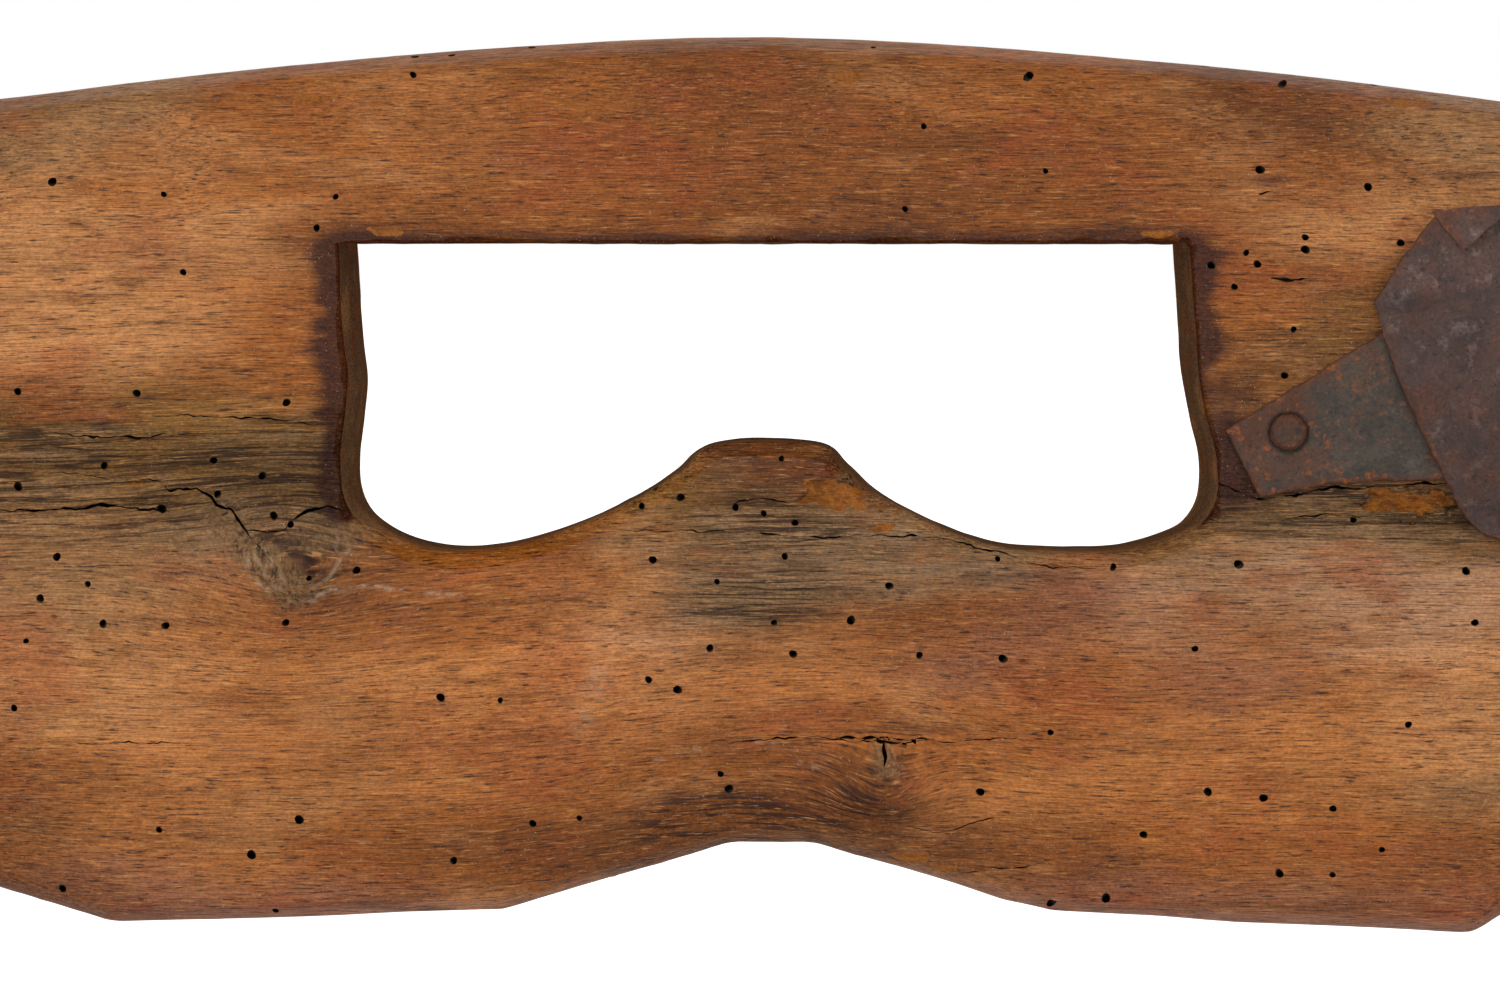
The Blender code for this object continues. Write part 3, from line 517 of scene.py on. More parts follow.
# Swatch middles (x, h) for each tone. Some paint shade: the plum at x 118 to 124 beside the window's right side; the
# dark, olive and moss at x 124 to 160, h 112 to 144, along the strap's upper edge, partly painted shade and partly
# dirt; and the mauve along the lower edge (h near -16), painted shade and reflected tint where the face rolls under.
SWATCHES = {
    "fawn": ((-192, 196), (178, 196), (-192, 80), (-178, 66), (184, 10), (-200, 92)),
    "chestnut": (
        (-158, 178), (-100, 196), (-84, 182), (-150, 62), (-132, 44), (-134, 18), (148, 32), (128, 176),
        (-8, 46), (66, 14), (122, 14), (-188, 4), (-140, 0), (-126, 60), (-40, 66), (150, 14), (-60, 66),
        (104, 30),
    ),
    "honey": (
        (-190, 160), (-150, 160), (-190, 136), (-160, 140), (-196, 48), (-176, 40), (184, 44), (180, 28),
        (152, 162),
    ),
    "amber": (
        (-150, 150), (-66, 36), (-84, 22), (-44, 44), (-160, 30), (16, 46), (102, 18), (150, 32),
        (-98, 44),
    ),
    "russet": (
        (-128, 180), (-60, 200), (60, 200), (96, 190), (-100, 176), (40, 58), (60, 30), (-96, 2),
        (-40, 14), (112, 2), (-96, 62), (30, 34), (92, 44), (124, 146), (-120, 190), (-56, 178), (150, 0),
        (-128, 142), (-126, 128), (130, 56),
    ),
    "umber": (
        (-20, 196), (16, 202), (-30, 176), (14, 182), (50, 182), (84, 176), (104, 178), (-8, 18), (76, -2),
        (58, 56), (124, 130), (-12, 168), (60, 168), (-92, 168), (184, -4), (-60, -4), (142, 182),
        (-122, 154), (-6, 182), (22, 188), (128, 188), (-58, 186), (-34, 188), (130, 165), (-88, 188),
        (-60, 79), (156, 146),
    ),
    "dark": (
        (131, 127), (40, 172), (116, 172), (16, 18), (-36, 0), (0, 6), (-118, 66), (30, 10), (124, 112),
        (-20, 10), (30, 2), (-206, -2), (-196, -14), (130, 197), (144, 195),
    ),
    "plum": ((118, 104), (8, 100), (124, 100), (120, 94)),
    "olive": (
        (-190, 114), (-150, 114), (160, 144), (-196, 104), (-2, 92), (148, 132), (-170, 102), (140, 128),
    ),
    "moss": ((-150, 98), (-176, 92), (-126, 98), (126, 84), (186, 84), (150, 133), (158, 139), (142, 124)),
    "stone": ((-146, 81), (10, 80), (-14, 76), (36, 78), (-8, 64), (16, 66), (160, 80), (140, 70)),
    "peach": ((150, 66), (-36, 54), (176, 62), (120, 60)),
    "mauve": (
        (-160, -16), (-120, -16), (92, -16), (150, -16), (186, -16), (120, 44), (76, 62), (60, 48),
        (-196, -14),
    ),
}  # fmt: skip
SWATCH_REACH = (19.0, 8.5)


def tone_of(x, y, h):
    """The wood's colour at each point: on the front, swatches blending into one another; elsewhere, streaks."""
    p = np.column_stack([x, y, h])
    px = x + 15 * noise(p, (60, 50, 14), 41) + 8 * noise(p, (22, 30, 5), 42)
    ph = h + 5 * noise(p, (46, 50, 12), 43) + 2.2 * noise(p, (20, 30, 4), 44)
    total, weights = np.zeros((len(x), 3)), np.full(len(x), 1e-3)
    total += weights[:, None] * TONES["chestnut"]
    for name, middles in SWATCHES.items():
        for mx, mh in middles:
            share = np.exp(-(((px - mx) / SWATCH_REACH[0]) ** 2) - ((ph - mh) / SWATCH_REACH[1]) ** 2)
            total += share[:, None] * TONES[name]
            weights += share
    painted = total / weights[:, None]

    bands = noise(np.column_stack([px, y, ph]), (170, 60, 19), 45) + 0.5 * noise(p, (60, 40, 30), 46)
    streaked = TONES["chestnut"] + ease(bands, 0.1, 0.8)[:, None] * (TONES["honey"] - TONES["chestnut"])
    streaked += ease(bands, -0.1, -0.8)[:, None] * (TONES["umber"] - TONES["chestnut"])
    front = (ease(y, 8, -16) * ease(np.abs(x - FINE_X), 252, 208))[:, None]
    return streaked * (1 - front) + painted * front


def in_window(x, y, h):
    """1 on the walls of the window, 0 on the faces."""
    deep = ease(np.abs(y), HALF_DEPTH - 3.5, HALF_DEPTH - 6.5)
    return deep * (np.abs(x + 1) < 124) * (h > 74) * (h < WINDOW_TOP_H + 2)


# Dark spots on the front face, some real stains and some painted shade beside the window's right side and over the
# strap's upper left corner, and zones worn down to dark torn fibres: strength, middle, radii.
STAINS_AND_SHADE = (
    (1.0, (123, 103), (11, 15)), (0.42, (34, 30.4), (27, 1.7)), (0.35, (-117, 66), (12, 4)),
    (0.4, (136, 179), (9, 2.2)), (0.45, (188, 180), (14, 2.2)), (0.35, (66, 72), (26, 4)), (0.5, (125, 121), (10, 7)),
)  # fmt: skip
WORN = (
    (0.95, (-14, 6), (27, 8)), (0.95, (20, 8), (18, 9)), (0.8, (-38, -5), (15, 6)), (0.6, (31, 19), (5, 7)),
    (0.45, (4, 99), (17, 6)), (0.5, (-22, 76), (24, 6)), (0.6, (-96, -18), (60, 2)), (0.5, (120, -17), (60, 2)),
    (0.5, (-118, 74), (10, 5)), (0.45, (34, 62), (20, 6)),
)  # fmt: skip


def worn_fibres(x, y, h):
    wander = 3.5 * noise(np.column_stack([x, y, h]), (16, 30, 5), 53)
    spots = [strength * spot(x + 1.5 * wander, h + wander, middle, radii, 1.3) for strength, middle, radii in WORN]
    return np.max(spots, axis=0) * ease(y, 0, -20)


def window_stain_and_shade(x, y, h):
    """Darkening on the face beside the window's walls and along its top, partly stain and partly painted shade at the
    opening's edges, with the dark spots listed above.
    """
    p = np.column_stack([x, y, h])
    wander = 4 * noise(p, (18, 30, 9), 51) + 2 * noise(p, (30, 20, 3.1), 52) + 1.6 * noise(p, (8, 20, 1.3), 54)
    beside = ease(h, 82, 90) * ease(h, WINDOW_TOP_H + 9, WINDOW_TOP_H - 2)
    left = ease(x + wander, WINDOW_SIDES[0] - 11, WINDOW_SIDES[0] + 1) * (x < WINDOW_SIDES[0] + 4)
    right = ease(x + wander, WINDOW_SIDES[1] + 11, WINDOW_SIDES[1] - 1) * (x > WINDOW_SIDES[1] - 4)
    # A painted shade line along the window's left edge.
    rim = 0.9 * np.exp(-(((x - WINDOW_SIDES[0]) / 1.3) ** 2)) * (h < 150)
    over = ease(h + 0.5 * wander, WINDOW_TOP_H + 8, WINDOW_TOP_H - 1) * ease(np.abs(x + 1), 122, 110)
    found = np.maximum(np.maximum(left, right) * beside, 0.75 * over * (h > WINDOW_TOP_H - 5))
    for strength, middle, radii in STAINS_AND_SHADE:
        found = np.maximum(found, strength * spot(x + wander, h + 0.4 * wander, middle, radii, 1.2))
    return np.clip(np.maximum(found, rim * beside), 0, 1) * (1 - in_window(x, y, h)) * ease(y, 0, -20)


# --- Making the beam --------------------------------------------------------------------------------------------


def crack_cutter(name, cracks, surface):
    """Closed wedges along each crack, wide at the face and closing inwards."""
    work = bmesh.new()
    for index, (half_width, depth, route) in enumerate(cracks.values()):
        route = np.array(route, float)
        lengths = np.r_[0, np.cumsum(np.linalg.norm(np.diff(route, axis=0), axis=1))]
        count = max(6, int(lengths[-1] / 0.5))
        at = np.linspace(0, lengths[-1], count)
        line = np.column_stack([np.interp(at, lengths, route[:, k]) for k in (0, 1)])
        wander = np.column_stack([at, np.full(count, index * 37.0)])
        line[:, 1] += 0.2 * noise(wander, (1.1, 1), 60) + 0.4 * noise(wander, (3, 1), 61)
        line[:, 1] += 0.5 * noise(wander, (9, 1), 62)
        ahead = np.gradient(line, axis=0)
        side = np.column_stack([-ahead[:, 1], ahead[:, 0]]) / np.linalg.norm(ahead, axis=1)[:, None]
        taper = np.clip(np.minimum(at, lengths[-1] - at) / (0.3 * lengths[-1]), 0, 1) ** 0.7
        uneven = np.clip(0.85 + 0.9 * noise(wander, (3.5, 1), 63) + 0.5 * noise(wander, (1.4, 1), 64), 0.2, 2.2)
        wide = half_width * (0.1 + 0.7 * taper) * uneven
        rings = []
        for (x, h), (sx, sh), w in zip(line, side, wide, strict=True):
            y = surface(x, h)
            out = w * 1.35
            corners = (
                (x + sx * out, y - 2.5, h + sh * out), (x - sx * out, y - 2.5, h - sh * out),
                (x - sx * w * 0.7, y + 0.45 * depth, h - sh * w * 0.7), (x, y + depth * (0.4 + w / half_width / 2), h),
                (x + sx * w * 0.7, y + 0.45 * depth, h + sh * w * 0.7),
            )  # fmt: skip
            rings.append([work.verts.new(place(*c)) for c in corners])
        for near, far in zip(rings[:-1], rings[1:], strict=True):
            for i in range(5):
                work.faces.new([near[i], near[(i + 1) % 5], far[(i + 1) % 5], far[i]])
        work.faces.new(rings[0])
        work.faces.new(rings[-1][::-1])
    return closed_cutter(name, work)


def closed_cutter(name, work):
    bmesh.ops.recalc_face_normals(work, faces=work.faces)
    bmesh.ops.triangulate(work, faces=work.faces)
    mesh = bpy.data.meshes.new(name)
    work.to_mesh(mesh)
    work.free()
    return new_mesh_object(name, mesh)


def bore_cutter(name, bores):
    """Closed slightly bent tapered bores: each (start, direction, radius, depth), in beam millimetres."""
    work = bmesh.new()
    sides = 9
    for start, direction, radius, depth in bores:
        start, inward = Vector(start), Vector(direction).normalized()
        across = inward.orthogonal().normalized()
        other = inward.cross(across)
        rings = []
        for along, share in ((-2.0, 1.12), (0.0, 1.04), (0.8, 0.97), (depth, 0.8)):
            ring = []
            for i in range(sides):
                a = 2 * math.pi * (i + 0.5 * along / depth) / sides
                swell = 1 + 0.09 * math.sin(2 * a + start.x) + 0.05 * math.sin(3 * a + start.z)
                point = start + inward * along + radius * share * swell * (math.cos(a) * across + math.sin(a) * other)
                ring.append(work.verts.new(place(*point)))
            rings.append(ring)
        for near, far in zip(rings[:-1], rings[1:], strict=True):
            for i in range(sides):
                work.faces.new([near[i], near[(i + 1) % sides], far[(i + 1) % sides], far[i]])
        work.faces.new(rings[0])
        work.faces.new(rings[-1][::-1])
    return closed_cutter(name, work)


def carve(obj, cutter, material):
    """Takes a closed cutter out of a closed mesh; what it lays bare gets the cutter's own material."""
    for slot in obj.data.materials:
        cutter.data.materials.append(slot)
    chosen = obj.data.materials.find(material.name)
    cutter.data.polygons.foreach_set("material_index", np.full(len(cutter.data.polygons), chosen, np.int32))
    modifier = obj.modifiers.new("carve", "BOOLEAN")
    modifier.operation, modifier.solver, modifier.object = "DIFFERENCE", "MANIFOLD", cutter
    modifier.material_mode = "TRANSFER"
    apply_modifiers(obj)
    bpy.data.objects.remove(cutter)


def face_surface(points, normals, side):
    """A function (x, h) -> y of one face, from the nearest vertex that faces that way: -1 front, 1 back."""
    facing = points[normals[:, 1] * side > 0.4]
    cells = {}
    size = 4.0
    for p in facing:
        cells.setdefault((int(p[0] // size), int(p[2] // size)), []).append(p)

    def surface(x, h):
        near = []
        cx, ch = int(x // size), int(h // size)
        reach = 1
        while not near and reach < 6:
            keys = [(cx + i, ch + j) for i in range(-reach, reach + 1) for j in range(-reach, reach + 1)]
            near = [p for k in keys for p in cells.get(k, ())]
            reach += 1
        found = min(near, key=lambda p: (p[0] - x) ** 2 + (p[2] - h) ** 2)
        return found[1]

    return surface


def window_route():
    """The window's outline, closely spaced, with the way into the wood at each point."""
    p = np.array(WINDOW, float)
    p = np.vstack([2 * p[0] - p[1], p, 2 * p[-1] - p[-2]])
    line = []
    for a, b, c, d in zip(p[:-3], p[1:-2], p[2:-1], p[3:], strict=True):
        for t in np.arange(0, 1, 1.5 / max(np.linalg.norm(c - b), 1.5)):
            line.append(b + 0.5 * t * (c - a + t * (2 * a - 5 * b + 4 * c - d + t * (3 * (b - c) + d - a))))
    start, end = np.array(WINDOW[-1], float), np.array(WINDOW[0], float)
    line += [start + (end - start) * t for t in np.arange(0, 1, 1.5 / np.linalg.norm(end - start))]
    line = np.array(line)
    ahead = np.roll(line, -1, axis=0) - np.roll(line, 1, axis=0)
    outward = np.column_stack([-ahead[:, 1], ahead[:, 0]]) / np.linalg.norm(ahead, axis=1)[:, None]
    return line, outward


def window_solid(name, rings):
    """A closed solid through the window: each ring is y and the outline's way outwards at each point."""
    line, outward = window_route()
    work = bmesh.new()
    loops = []
    for y, out in rings:
        places = line + outward * np.broadcast_to(out, len(line))[:, None]
        ys = np.broadcast_to(y, len(line))
        loops.append([work.verts.new(place(x, yy, h)) for (x, h), yy in zip(places, ys, strict=True)])
    for near, far in zip(loops[:-1], loops[1:], strict=True):
        for i in range(len(line)):
            j = (i + 1) % len(line)
            work.faces.new([near[i], near[j], far[j], far[i]])
    work.faces.new(loops[0])
    work.faces.new(loops[-1][::-1])
    return closed_cutter(name, work)


def window_cutter(front, back):
    """The window's true walls: splayed at the front, chopped a little unevenly, crisp but for the worn sill."""
    line, outward = window_route()
    inwards = line + 2.5 * outward
    front_y = np.array([front(x, h) for x, h in inwards])
    back_y = np.array([back(x, h) for x, h in inwards])
    sill = ease(-outward[:, 1], 0.1, 0.75)
    seen = np.column_stack([line, np.zeros(len(line))])
    worn = 0.7 + 3.6 * sill + 0.9 * ease(noise(seen, (7, 7, 1), 81), 0.1, 0.8) * (1 - sill)
    splay = np.where(outward[:, 0] < 0, 3.0, 2.0) * ease(np.abs(outward[:, 0]), 0.5, 0.95)
    rings = []
    for deep in (-3.0, 0.0, 0.12, 0.35, 0.65, 1.0):
        within = np.clip(deep, 0, 1) * worn
        out = worn - np.sqrt(np.maximum(worn**2 - (worn - within) ** 2, 0)) + max(-deep, 0) * 0.4
        rings.append((within + min(deep, 0), out))
    found = [(front_y + step, out + splay, 0.0) for step, out in rings]
    for share in np.linspace(0, 1, 15)[1:-1]:
        y = front_y + worn + share * (back_y - front_y - 2 * worn)
        found.append((y, splay * ease(share, 0.55, 0.0), 1.0))
    found += [(back_y - step, out, 0.0) for step, out in rings[::-1]]
    made = []
    for y, out, inner in found:
        p = np.column_stack([line[:, 0], y, line[:, 1]])
        rough = 0.32 * noise(p, (16, 20, 12), 82) + 0.16 * noise(p, (4, 9, 4), 83)
        made.append((y, out + rough * (0.45 + 0.55 * inner)))
    return window_solid("window_walls", made)


def filled_window(obj):
    """Fills the window, so that the faces are smoothed as if it had never been cut."""
    work = bmesh.new()
    work.from_mesh(obj.data)
    bmesh.ops.remove_doubles(work, verts=work.verts, dist=0.01 * MM)
    work.to_mesh(obj.data)
    work.free()
    plug = window_solid("plug", ((1 - HALF_DEPTH, 9.0), (HALF_DEPTH - 1, 9.0)))
    modifier = obj.modifiers.new("fill", "BOOLEAN")
    modifier.operation, modifier.solver, modifier.object = "UNION", "MANIFOLD", plug
    apply_modifiers(obj)
    bpy.data.objects.remove(plug)


def make_beam(wood, dull, bare):
    source = frame["nodes"]["yoke_beam"]
    obj = new_mesh_object("hewn_beam", source.data.copy())
    filled_window(obj)
    obj.data.materials.clear()
    mesh = remeshed(obj, COARSE)
    edges, points = edges_of(mesh), points_of(mesh)
    for push in (0.5, -0.53, 0.5, -0.53, 0.5, -0.53):
        points += push * (neighbour_mean(points, edges) - points)
    set_points(mesh, points)
    flat = ease(np.abs(normals_of(mesh)[:, 1]), 0.86, 0.97)[:, None] * np.array([[0.0, 0.6, 0.0]])
    for _ in range(22):
        points += flat * (neighbour_mean(points, edges) - points)
    set_points(mesh, points)

    for level in range(FINE_LEVELS):
        x, y, h = to_beam(points_of(mesh))
        near = (np.abs(x - FINE_X) < FINE_HALF) & (y < -10) & (h < 230)
        if level:
            fine = (weathering(x, y, h) > 0.3) | (breaks(x, y, h)[1] > 0.1) | (crumbling(x, y, h) > 0.1)
            near &= fine | (pale_marks(x, y, h) > 0.1)
        halve(mesh, near)
        points, edges = points_of(mesh), edges_of(mesh)
        points += 0.4 * near_mask(points, level) * (neighbour_mean(points, edges) - points)
        set_points(mesh, points)

    points, normals = points_of(mesh), normals_of(mesh)
    x, y, h = to_beam(points)
    relief = beam_relief(x, y, h, weathering(x, y, h))
    set_points(mesh, points + normals * relief[:, None] * MM)

    for material in (wood, dull, bare):
        mesh.materials.append(material)
    points, normals = points_of(mesh), normals_of(mesh)
    surface = face_surface(np.column_stack(to_beam(points)), normals, -1)
    back = face_surface(np.column_stack(to_beam(points)), normals, 1)
    carve(obj, window_cutter(surface, back), dull)
    # The third material paints the insides of cracks and bores near black: painted shade.
    carve(obj, crack_cutter("cracks", CRACKS, surface), bare)
    carve(obj, crack_cutter("cross_cracks", CROSS_CRACKS, surface), bare)
    carve(obj, bore_cutter("bores", worm_bores(points, normals, surface)), bare)
    mesh = obj.data
    finish_beam(mesh)
    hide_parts("yoke_beam")
    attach(obj, "beam")
    return obj


def near_mask(points, level):
    """How strongly each point is smoothed after a halving: only in the finely worked zone."""
    x, y, _ = to_beam(points)
    near = (np.abs(x - FINE_X) < FINE_HALF) & (y < -10)
    return near.astype(float)[:, None] * (1.0 if level == 0 else 0.6)


def to_beam(points):
    """Beam millimetres (x, y, h) from frame metres."""
    return points[:, 0] / MM, points[:, 1] / MM, (points[:, 2] - NOTCH_Z) / MM


def worm_bores(points, normals, surface):
    chance = np.random.default_rng(7)
    bores = []
    for x, h in WORM_HOLES:
        lean = chance.uniform(-0.25, 0.25, 2)
        bores.append(((x, surface(x, h), h), (lean[0], 1, lean[1]), chance.uniform(0.75, 1.25), chance.uniform(4, 8)))
    x, y, h = to_beam(points)
    order = chance.permutation(len(points))
    kept = [np.array(b[0]) for b in bores]
    for i in order[:4000]:
        if len(bores) > len(WORM_HOLES) + 150:
            break
        here = np.array([x[i], y[i], h[i]])
        in_view = abs(x[i] - FINE_X) < 206 and y[i] < -20
        if in_view or abs(normals[i, 0]) > 0.9 or min(np.linalg.norm(here - k) for k in kept) < 7:
            continue
        kept.append(here)
        bores.append((tuple(here), tuple(-normals[i]), chance.uniform(0.7, 1.25), chance.uniform(3, 6)))
    return bores


def finish_beam(mesh):
    x, y, h = to_beam(points_of(mesh))
    walls = in_window(x, y, h)
    weather = np.maximum(weathering(x, y, h) * (1 - walls), 0.2 * walls)
    raw = breaks(x, y, h)[1]
    along, across = grain_of(x, y, h)
    tone = tone_of(x, y, h)
    # The window's walls and sill take darker, greyer tones: partly their own colour, partly painted shade of the
    # opening.
    wall_tone_and_shade = TONES["wall"] + ease(h, 130, 95)[:, None] * (TONES["sill"] - TONES["wall"])
    tone += 0.9 * walls[:, None] * (wall_tone_and_shade - tone)
    set_attribute(mesh, "grain", np.column_stack([along, y, across]) * MM)
    set_attribute(mesh, "weather", weather)
    set_attribute(mesh, "raw", raw)
    set_attribute(mesh, "stain_and_shade", window_stain_and_shade(x, y, h))
    set_attribute(mesh, "worn", worn_fibres(x, y, h) * (1 - walls))
    set_attribute(mesh, "groove", grooves(x, y, h) * weather)
    set_attribute(mesh, "crumb", crumbling(x, y, h))
    set_attribute(mesh, "pale", pale_marks(x, y, h))
    set_attribute(mesh, "tone", tone)
    mesh.shade_smooth()
    mesh.set_sharp_from_angle(angle=math.radians(48))


# --- Materials --------------------------------------------------------------------------------------------------


class Shading:
    """A material's node tree, built by short calls."""

    def __init__(self, name):
        self.material = bpy.data.materials.new(name)
        self.material.use_nodes = True
        self.nodes, self.links = self.material.node_tree.nodes, self.material.node_tree.links
        self.shader = self.nodes["Principled BSDF"]

    def put(self, socket, value):
        if isinstance(value, bpy.types.NodeSocket):
            self.links.new(value, socket)
        elif value is not None:
            colour = socket.type == "RGBA" and len(value) == 3
            socket.default_value = (*value, 1) if colour else value

    def attribute(self, name, output="Fac"):
        node = self.nodes.new("ShaderNodeAttribute")
        node.attribute_name = name
        return node.outputs[output]

    def math(self, operation, a, b=None, c=None, clamp=False):
        node = self.nodes.new("ShaderNodeMath")
        node.operation, node.use_clamp = operation, clamp
        for socket, value in zip(node.inputs, (a, b, c), strict=True):
            self.put(socket, value)
        return node.outputs[0]

    def noise(self, vector, scale, detail=2.0, rough=0.5, stretch=(1, 1, 1)):
        mapping = self.nodes.new("ShaderNodeMapping")
        mapping.inputs["Scale"].default_value = stretch
        self.put(mapping.inputs["Vector"], vector)
        node = self.nodes.new("ShaderNodeTexNoise")
        self.put(node.inputs["Vector"], mapping.outputs[0])
        node.inputs["Scale"].default_value = scale
        node.inputs["Detail"].default_value = detail
        node.inputs["Roughness"].default_value = rough
        return node.outputs["Fac"]

    def ramp(self, value, low, high, to_low=0.0, to_high=1.0):
        node = self.nodes.new("ShaderNodeMapRange")
        node.interpolation_type = "SMOOTHSTEP"
        for socket, v in zip(node.inputs, (value, low, high, to_low, to_high), strict=False):
            self.put(socket, v)
        return node.outputs[0]

    def lines(self, value, width):
        """1 along the level lines of a noise, 0 away from them."""
        return self.ramp(self.math("ABSOLUTE", self.math("SUBTRACT", value, 0.5)), width, 0.2 * width)

    def mix(self, share, a, b, blend="MIX"):
        node = self.nodes.new("ShaderNodeMix")
        node.data_type, node.blend_type = "RGBA", blend
        node.clamp_factor = True
        for socket, value in ((node.inputs[0], share), (node.inputs[6], a), (node.inputs[7], b)):
            self.put(socket, value)
        return node.outputs[2]

    def bump(self, height, distance, strength=1.0, below=None):
        node = self.nodes.new("ShaderNodeBump")
        node.inputs["Strength"].default_value = strength
        node.inputs["Distance"].default_value = distance
        self.put(node.inputs["Height"], height)
        self.put(node.inputs["Normal"], below)
        return node.outputs[0]

    def finish(self, colour, roughness, normal=None, metallic=0.0):
        self.put(self.shader.inputs["Base Color"], colour)
        self.put(self.shader.inputs["Roughness"], roughness)
        self.put(self.shader.inputs["Metallic"], metallic)
        self.put(self.shader.inputs["Normal"], normal)
        return self.material


def aged_wood(name, gloss=0.14):
    """Old oiled wood, from each mesh's own attributes: fibres, tone, weathering, stains with painted shade, and broken
    places.
    """
    s = Shading(name)
    grain, tone = s.attribute("grain", "Vector"), s.attribute("tone", "Vector")
    weather, raw, stain_and_shade = s.attribute("weather"), s.attribute("raw"), s.attribute("stain_and_shade")
    crumb, groove, pale, worn = (s.attribute(name) for name in ("crumb", "groove", "pale", "worn"))
    fibres = s.noise(grain, 1, 3.0, 0.6, (80, 1300, 2700))
    pores = s.noise(grain, 1, 2.0, 0.6, (190, 1100, 2300))
    dashes = s.noise(grain, 1, 4.0, 0.7, (80, 700, 1500))
    streaks = s.noise(grain, 1, 4.0, 0.6, (15, 150, 300))
    bands = s.noise(grain, 1, 3.0, 0.55, (6, 50, 80))
    mottle = s.noise(grain, 1, 5.0, 0.65, (60, 90, 130))
    blotch = s.noise(grain, 1, 5.0, 0.6, (22, 36, 52))
    furrows = s.lines(s.noise(grain, 1, 3.0, 0.55, (13, 130, 330)), 0.045)
    pits = s.noise(grain, 1, 3.0, 0.65, (420, 500, 700))
    grit = s.noise(grain, 1, 3.0, 0.7, (900, 1100, 1500))
    char, umber, straw, dark = (tuple(TONES[k]) for k in ("char", "umber", "straw", "dark"))

    def fibrous(colour, strength):
        """Light and dark along the fibres, and finely grained."""
        shade = s.ramp(fibres, 0.24, 0.76, 0.9 - 0.4 * strength, 0.9 + 0.4 * strength)
        shade = s.math("MULTIPLY", shade, s.ramp(grit, 0.3, 0.7, 1 - 0.28 * strength, 1 + 0.28 * strength))
        shade = s.math("MULTIPLY", shade, s.ramp(bands, 0.32, 0.68, 1 - 0.12 * strength, 1 + 0.12 * strength))
        return s.mix(1.0, colour, shade, "MULTIPLY")

    colour = s.mix(s.ramp(streaks, 0.54, 0.70, 0.0, 0.22), tone, tuple(TONES["amber"]))
    colour = s.mix(s.ramp(streaks, 0.46, 0.30, 0.0, 0.4), colour, dark)
    colour = s.mix(s.ramp(blotch, 0.51, 0.66, 0.0, 0.5), colour, tuple(TONES["flush"]))
    colour = s.mix(s.ramp(blotch, 0.47, 0.34, 0.0, 0.4), colour, tuple(TONES["honey"]))
    colour = s.mix(s.ramp(mottle, 0.52, 0.68, 0.0, 0.45), colour, umber)
    colour = s.mix(s.ramp(mottle, 0.44, 0.30, 0.0, 0.35), colour, tuple(TONES["mauve"]))
    colour = fibrous(colour, 0.85)
    colour = s.mix(s.ramp(dashes, 0.43, 0.31, 0.0, 0.6), colour, char)
    colour = s.mix(s.ramp(pores, 0.43, 0.32, 0.0, 0.8), colour, char)
    colour = s.mix(s.ramp(pores, 0.58, 0.72, 0.0, 0.35), colour, straw)

    grey = s.mix(s.ramp(streaks, 0.36, 0.62), tuple(TONES["moss"]), tuple(TONES["stone"]))
    grey = s.mix(s.ramp(mottle, 0.36, 0.62, 0.1, 0.8), grey, tone)
    grey = fibrous(grey, 1.2)
    grey = s.mix(s.ramp(dashes, 0.43, 0.31, 0.0, 0.75), grey, char)
    grey = s.mix(s.math("MULTIPLY", furrows, 0.8), grey, char)
    grey = s.mix(s.ramp(groove, 0.4, 0.9, 0.0, 0.45), grey, char)
    grey = s.mix(s.ramp(pores, 0.58, 0.70, 0.0, 0.4), grey, straw)
    weathered = s.ramp(s.math("ADD", weather, s.math("MULTIPLY", streaks, 0.6)), 0.5, 1.05, 0.0, 0.92)
    colour = s.mix(weathered, colour, grey)
    rough_brown = s.mix(s.ramp(grit, 0.36, 0.62), tuple(TONES["dark"] * 0.7), umber)
    rough_brown = s.mix(s.math("MULTIPLY", furrows, 0.85), rough_brown, char)
    rough_brown = s.mix(s.ramp(dashes, 0.47, 0.34, 0.0, 0.9), rough_brown, char)
    rough_brown = s.mix(s.ramp(pores, 0.60, 0.68, 0.0, 0.8), rough_brown, tuple(TONES["honey"]))
    torn_out = s.ramp(s.math("ADD", worn, s.math("MULTIPLY", streaks, 0.7)), 0.55, 1.1, 0.0, 0.9)
    colour = s.mix(torn_out, colour, rough_brown)
    crumbly = s.mix(s.ramp(grit, 0.38, 0.64), tuple(TONES["moss"]), tuple(TONES["stone"]))
    crumbly = s.mix(s.ramp(pits, 0.47, 0.38, 0.0, 0.9), crumbly, char)
    colour = s.mix(s.math("MULTIPLY", crumb, 0.8), colour, crumbly)
    # Stains and painted shade from the mesh: darker beside the window, along the strap and at real stains.
    stain_and_shade_share = s.ramp(s.math("ADD", stain_and_shade, s.math("MULTIPLY", dashes, 0.6)), 0.4, 1.0, 0.0, 0.9)
    colour = s.mix(stain_and_shade_share, colour, s.mix(s.ramp(grit, 0.36, 0.64), char, tuple(TONES["stain_and_shade"])))
    torn = s.mix(s.ramp(grit, 0.36, 0.62), umber, tuple(TONES["raw"]))
    torn = s.mix(s.ramp(pits, 0.49, 0.40, 0.0, 0.8), torn, dark)
    colour = s.mix(s.ramp(s.math("ADD", raw, s.math("MULTIPLY", dashes, 0.8)), 0.75, 1.0), colour, torn)
    colour = s.mix(s.math("MULTIPLY", pale, s.ramp(pits, 0.42, 0.58, 0.1, 0.7)), colour, tuple(TONES["dust"]))
    specks = s.noise(grain, 1, 1.0, 0.5, (1900, 1900, 1900))
    colour = s.mix(s.ramp(specks, 0.70, 0.78, 0.0, 0.6), colour, tuple(TONES["dust"]))

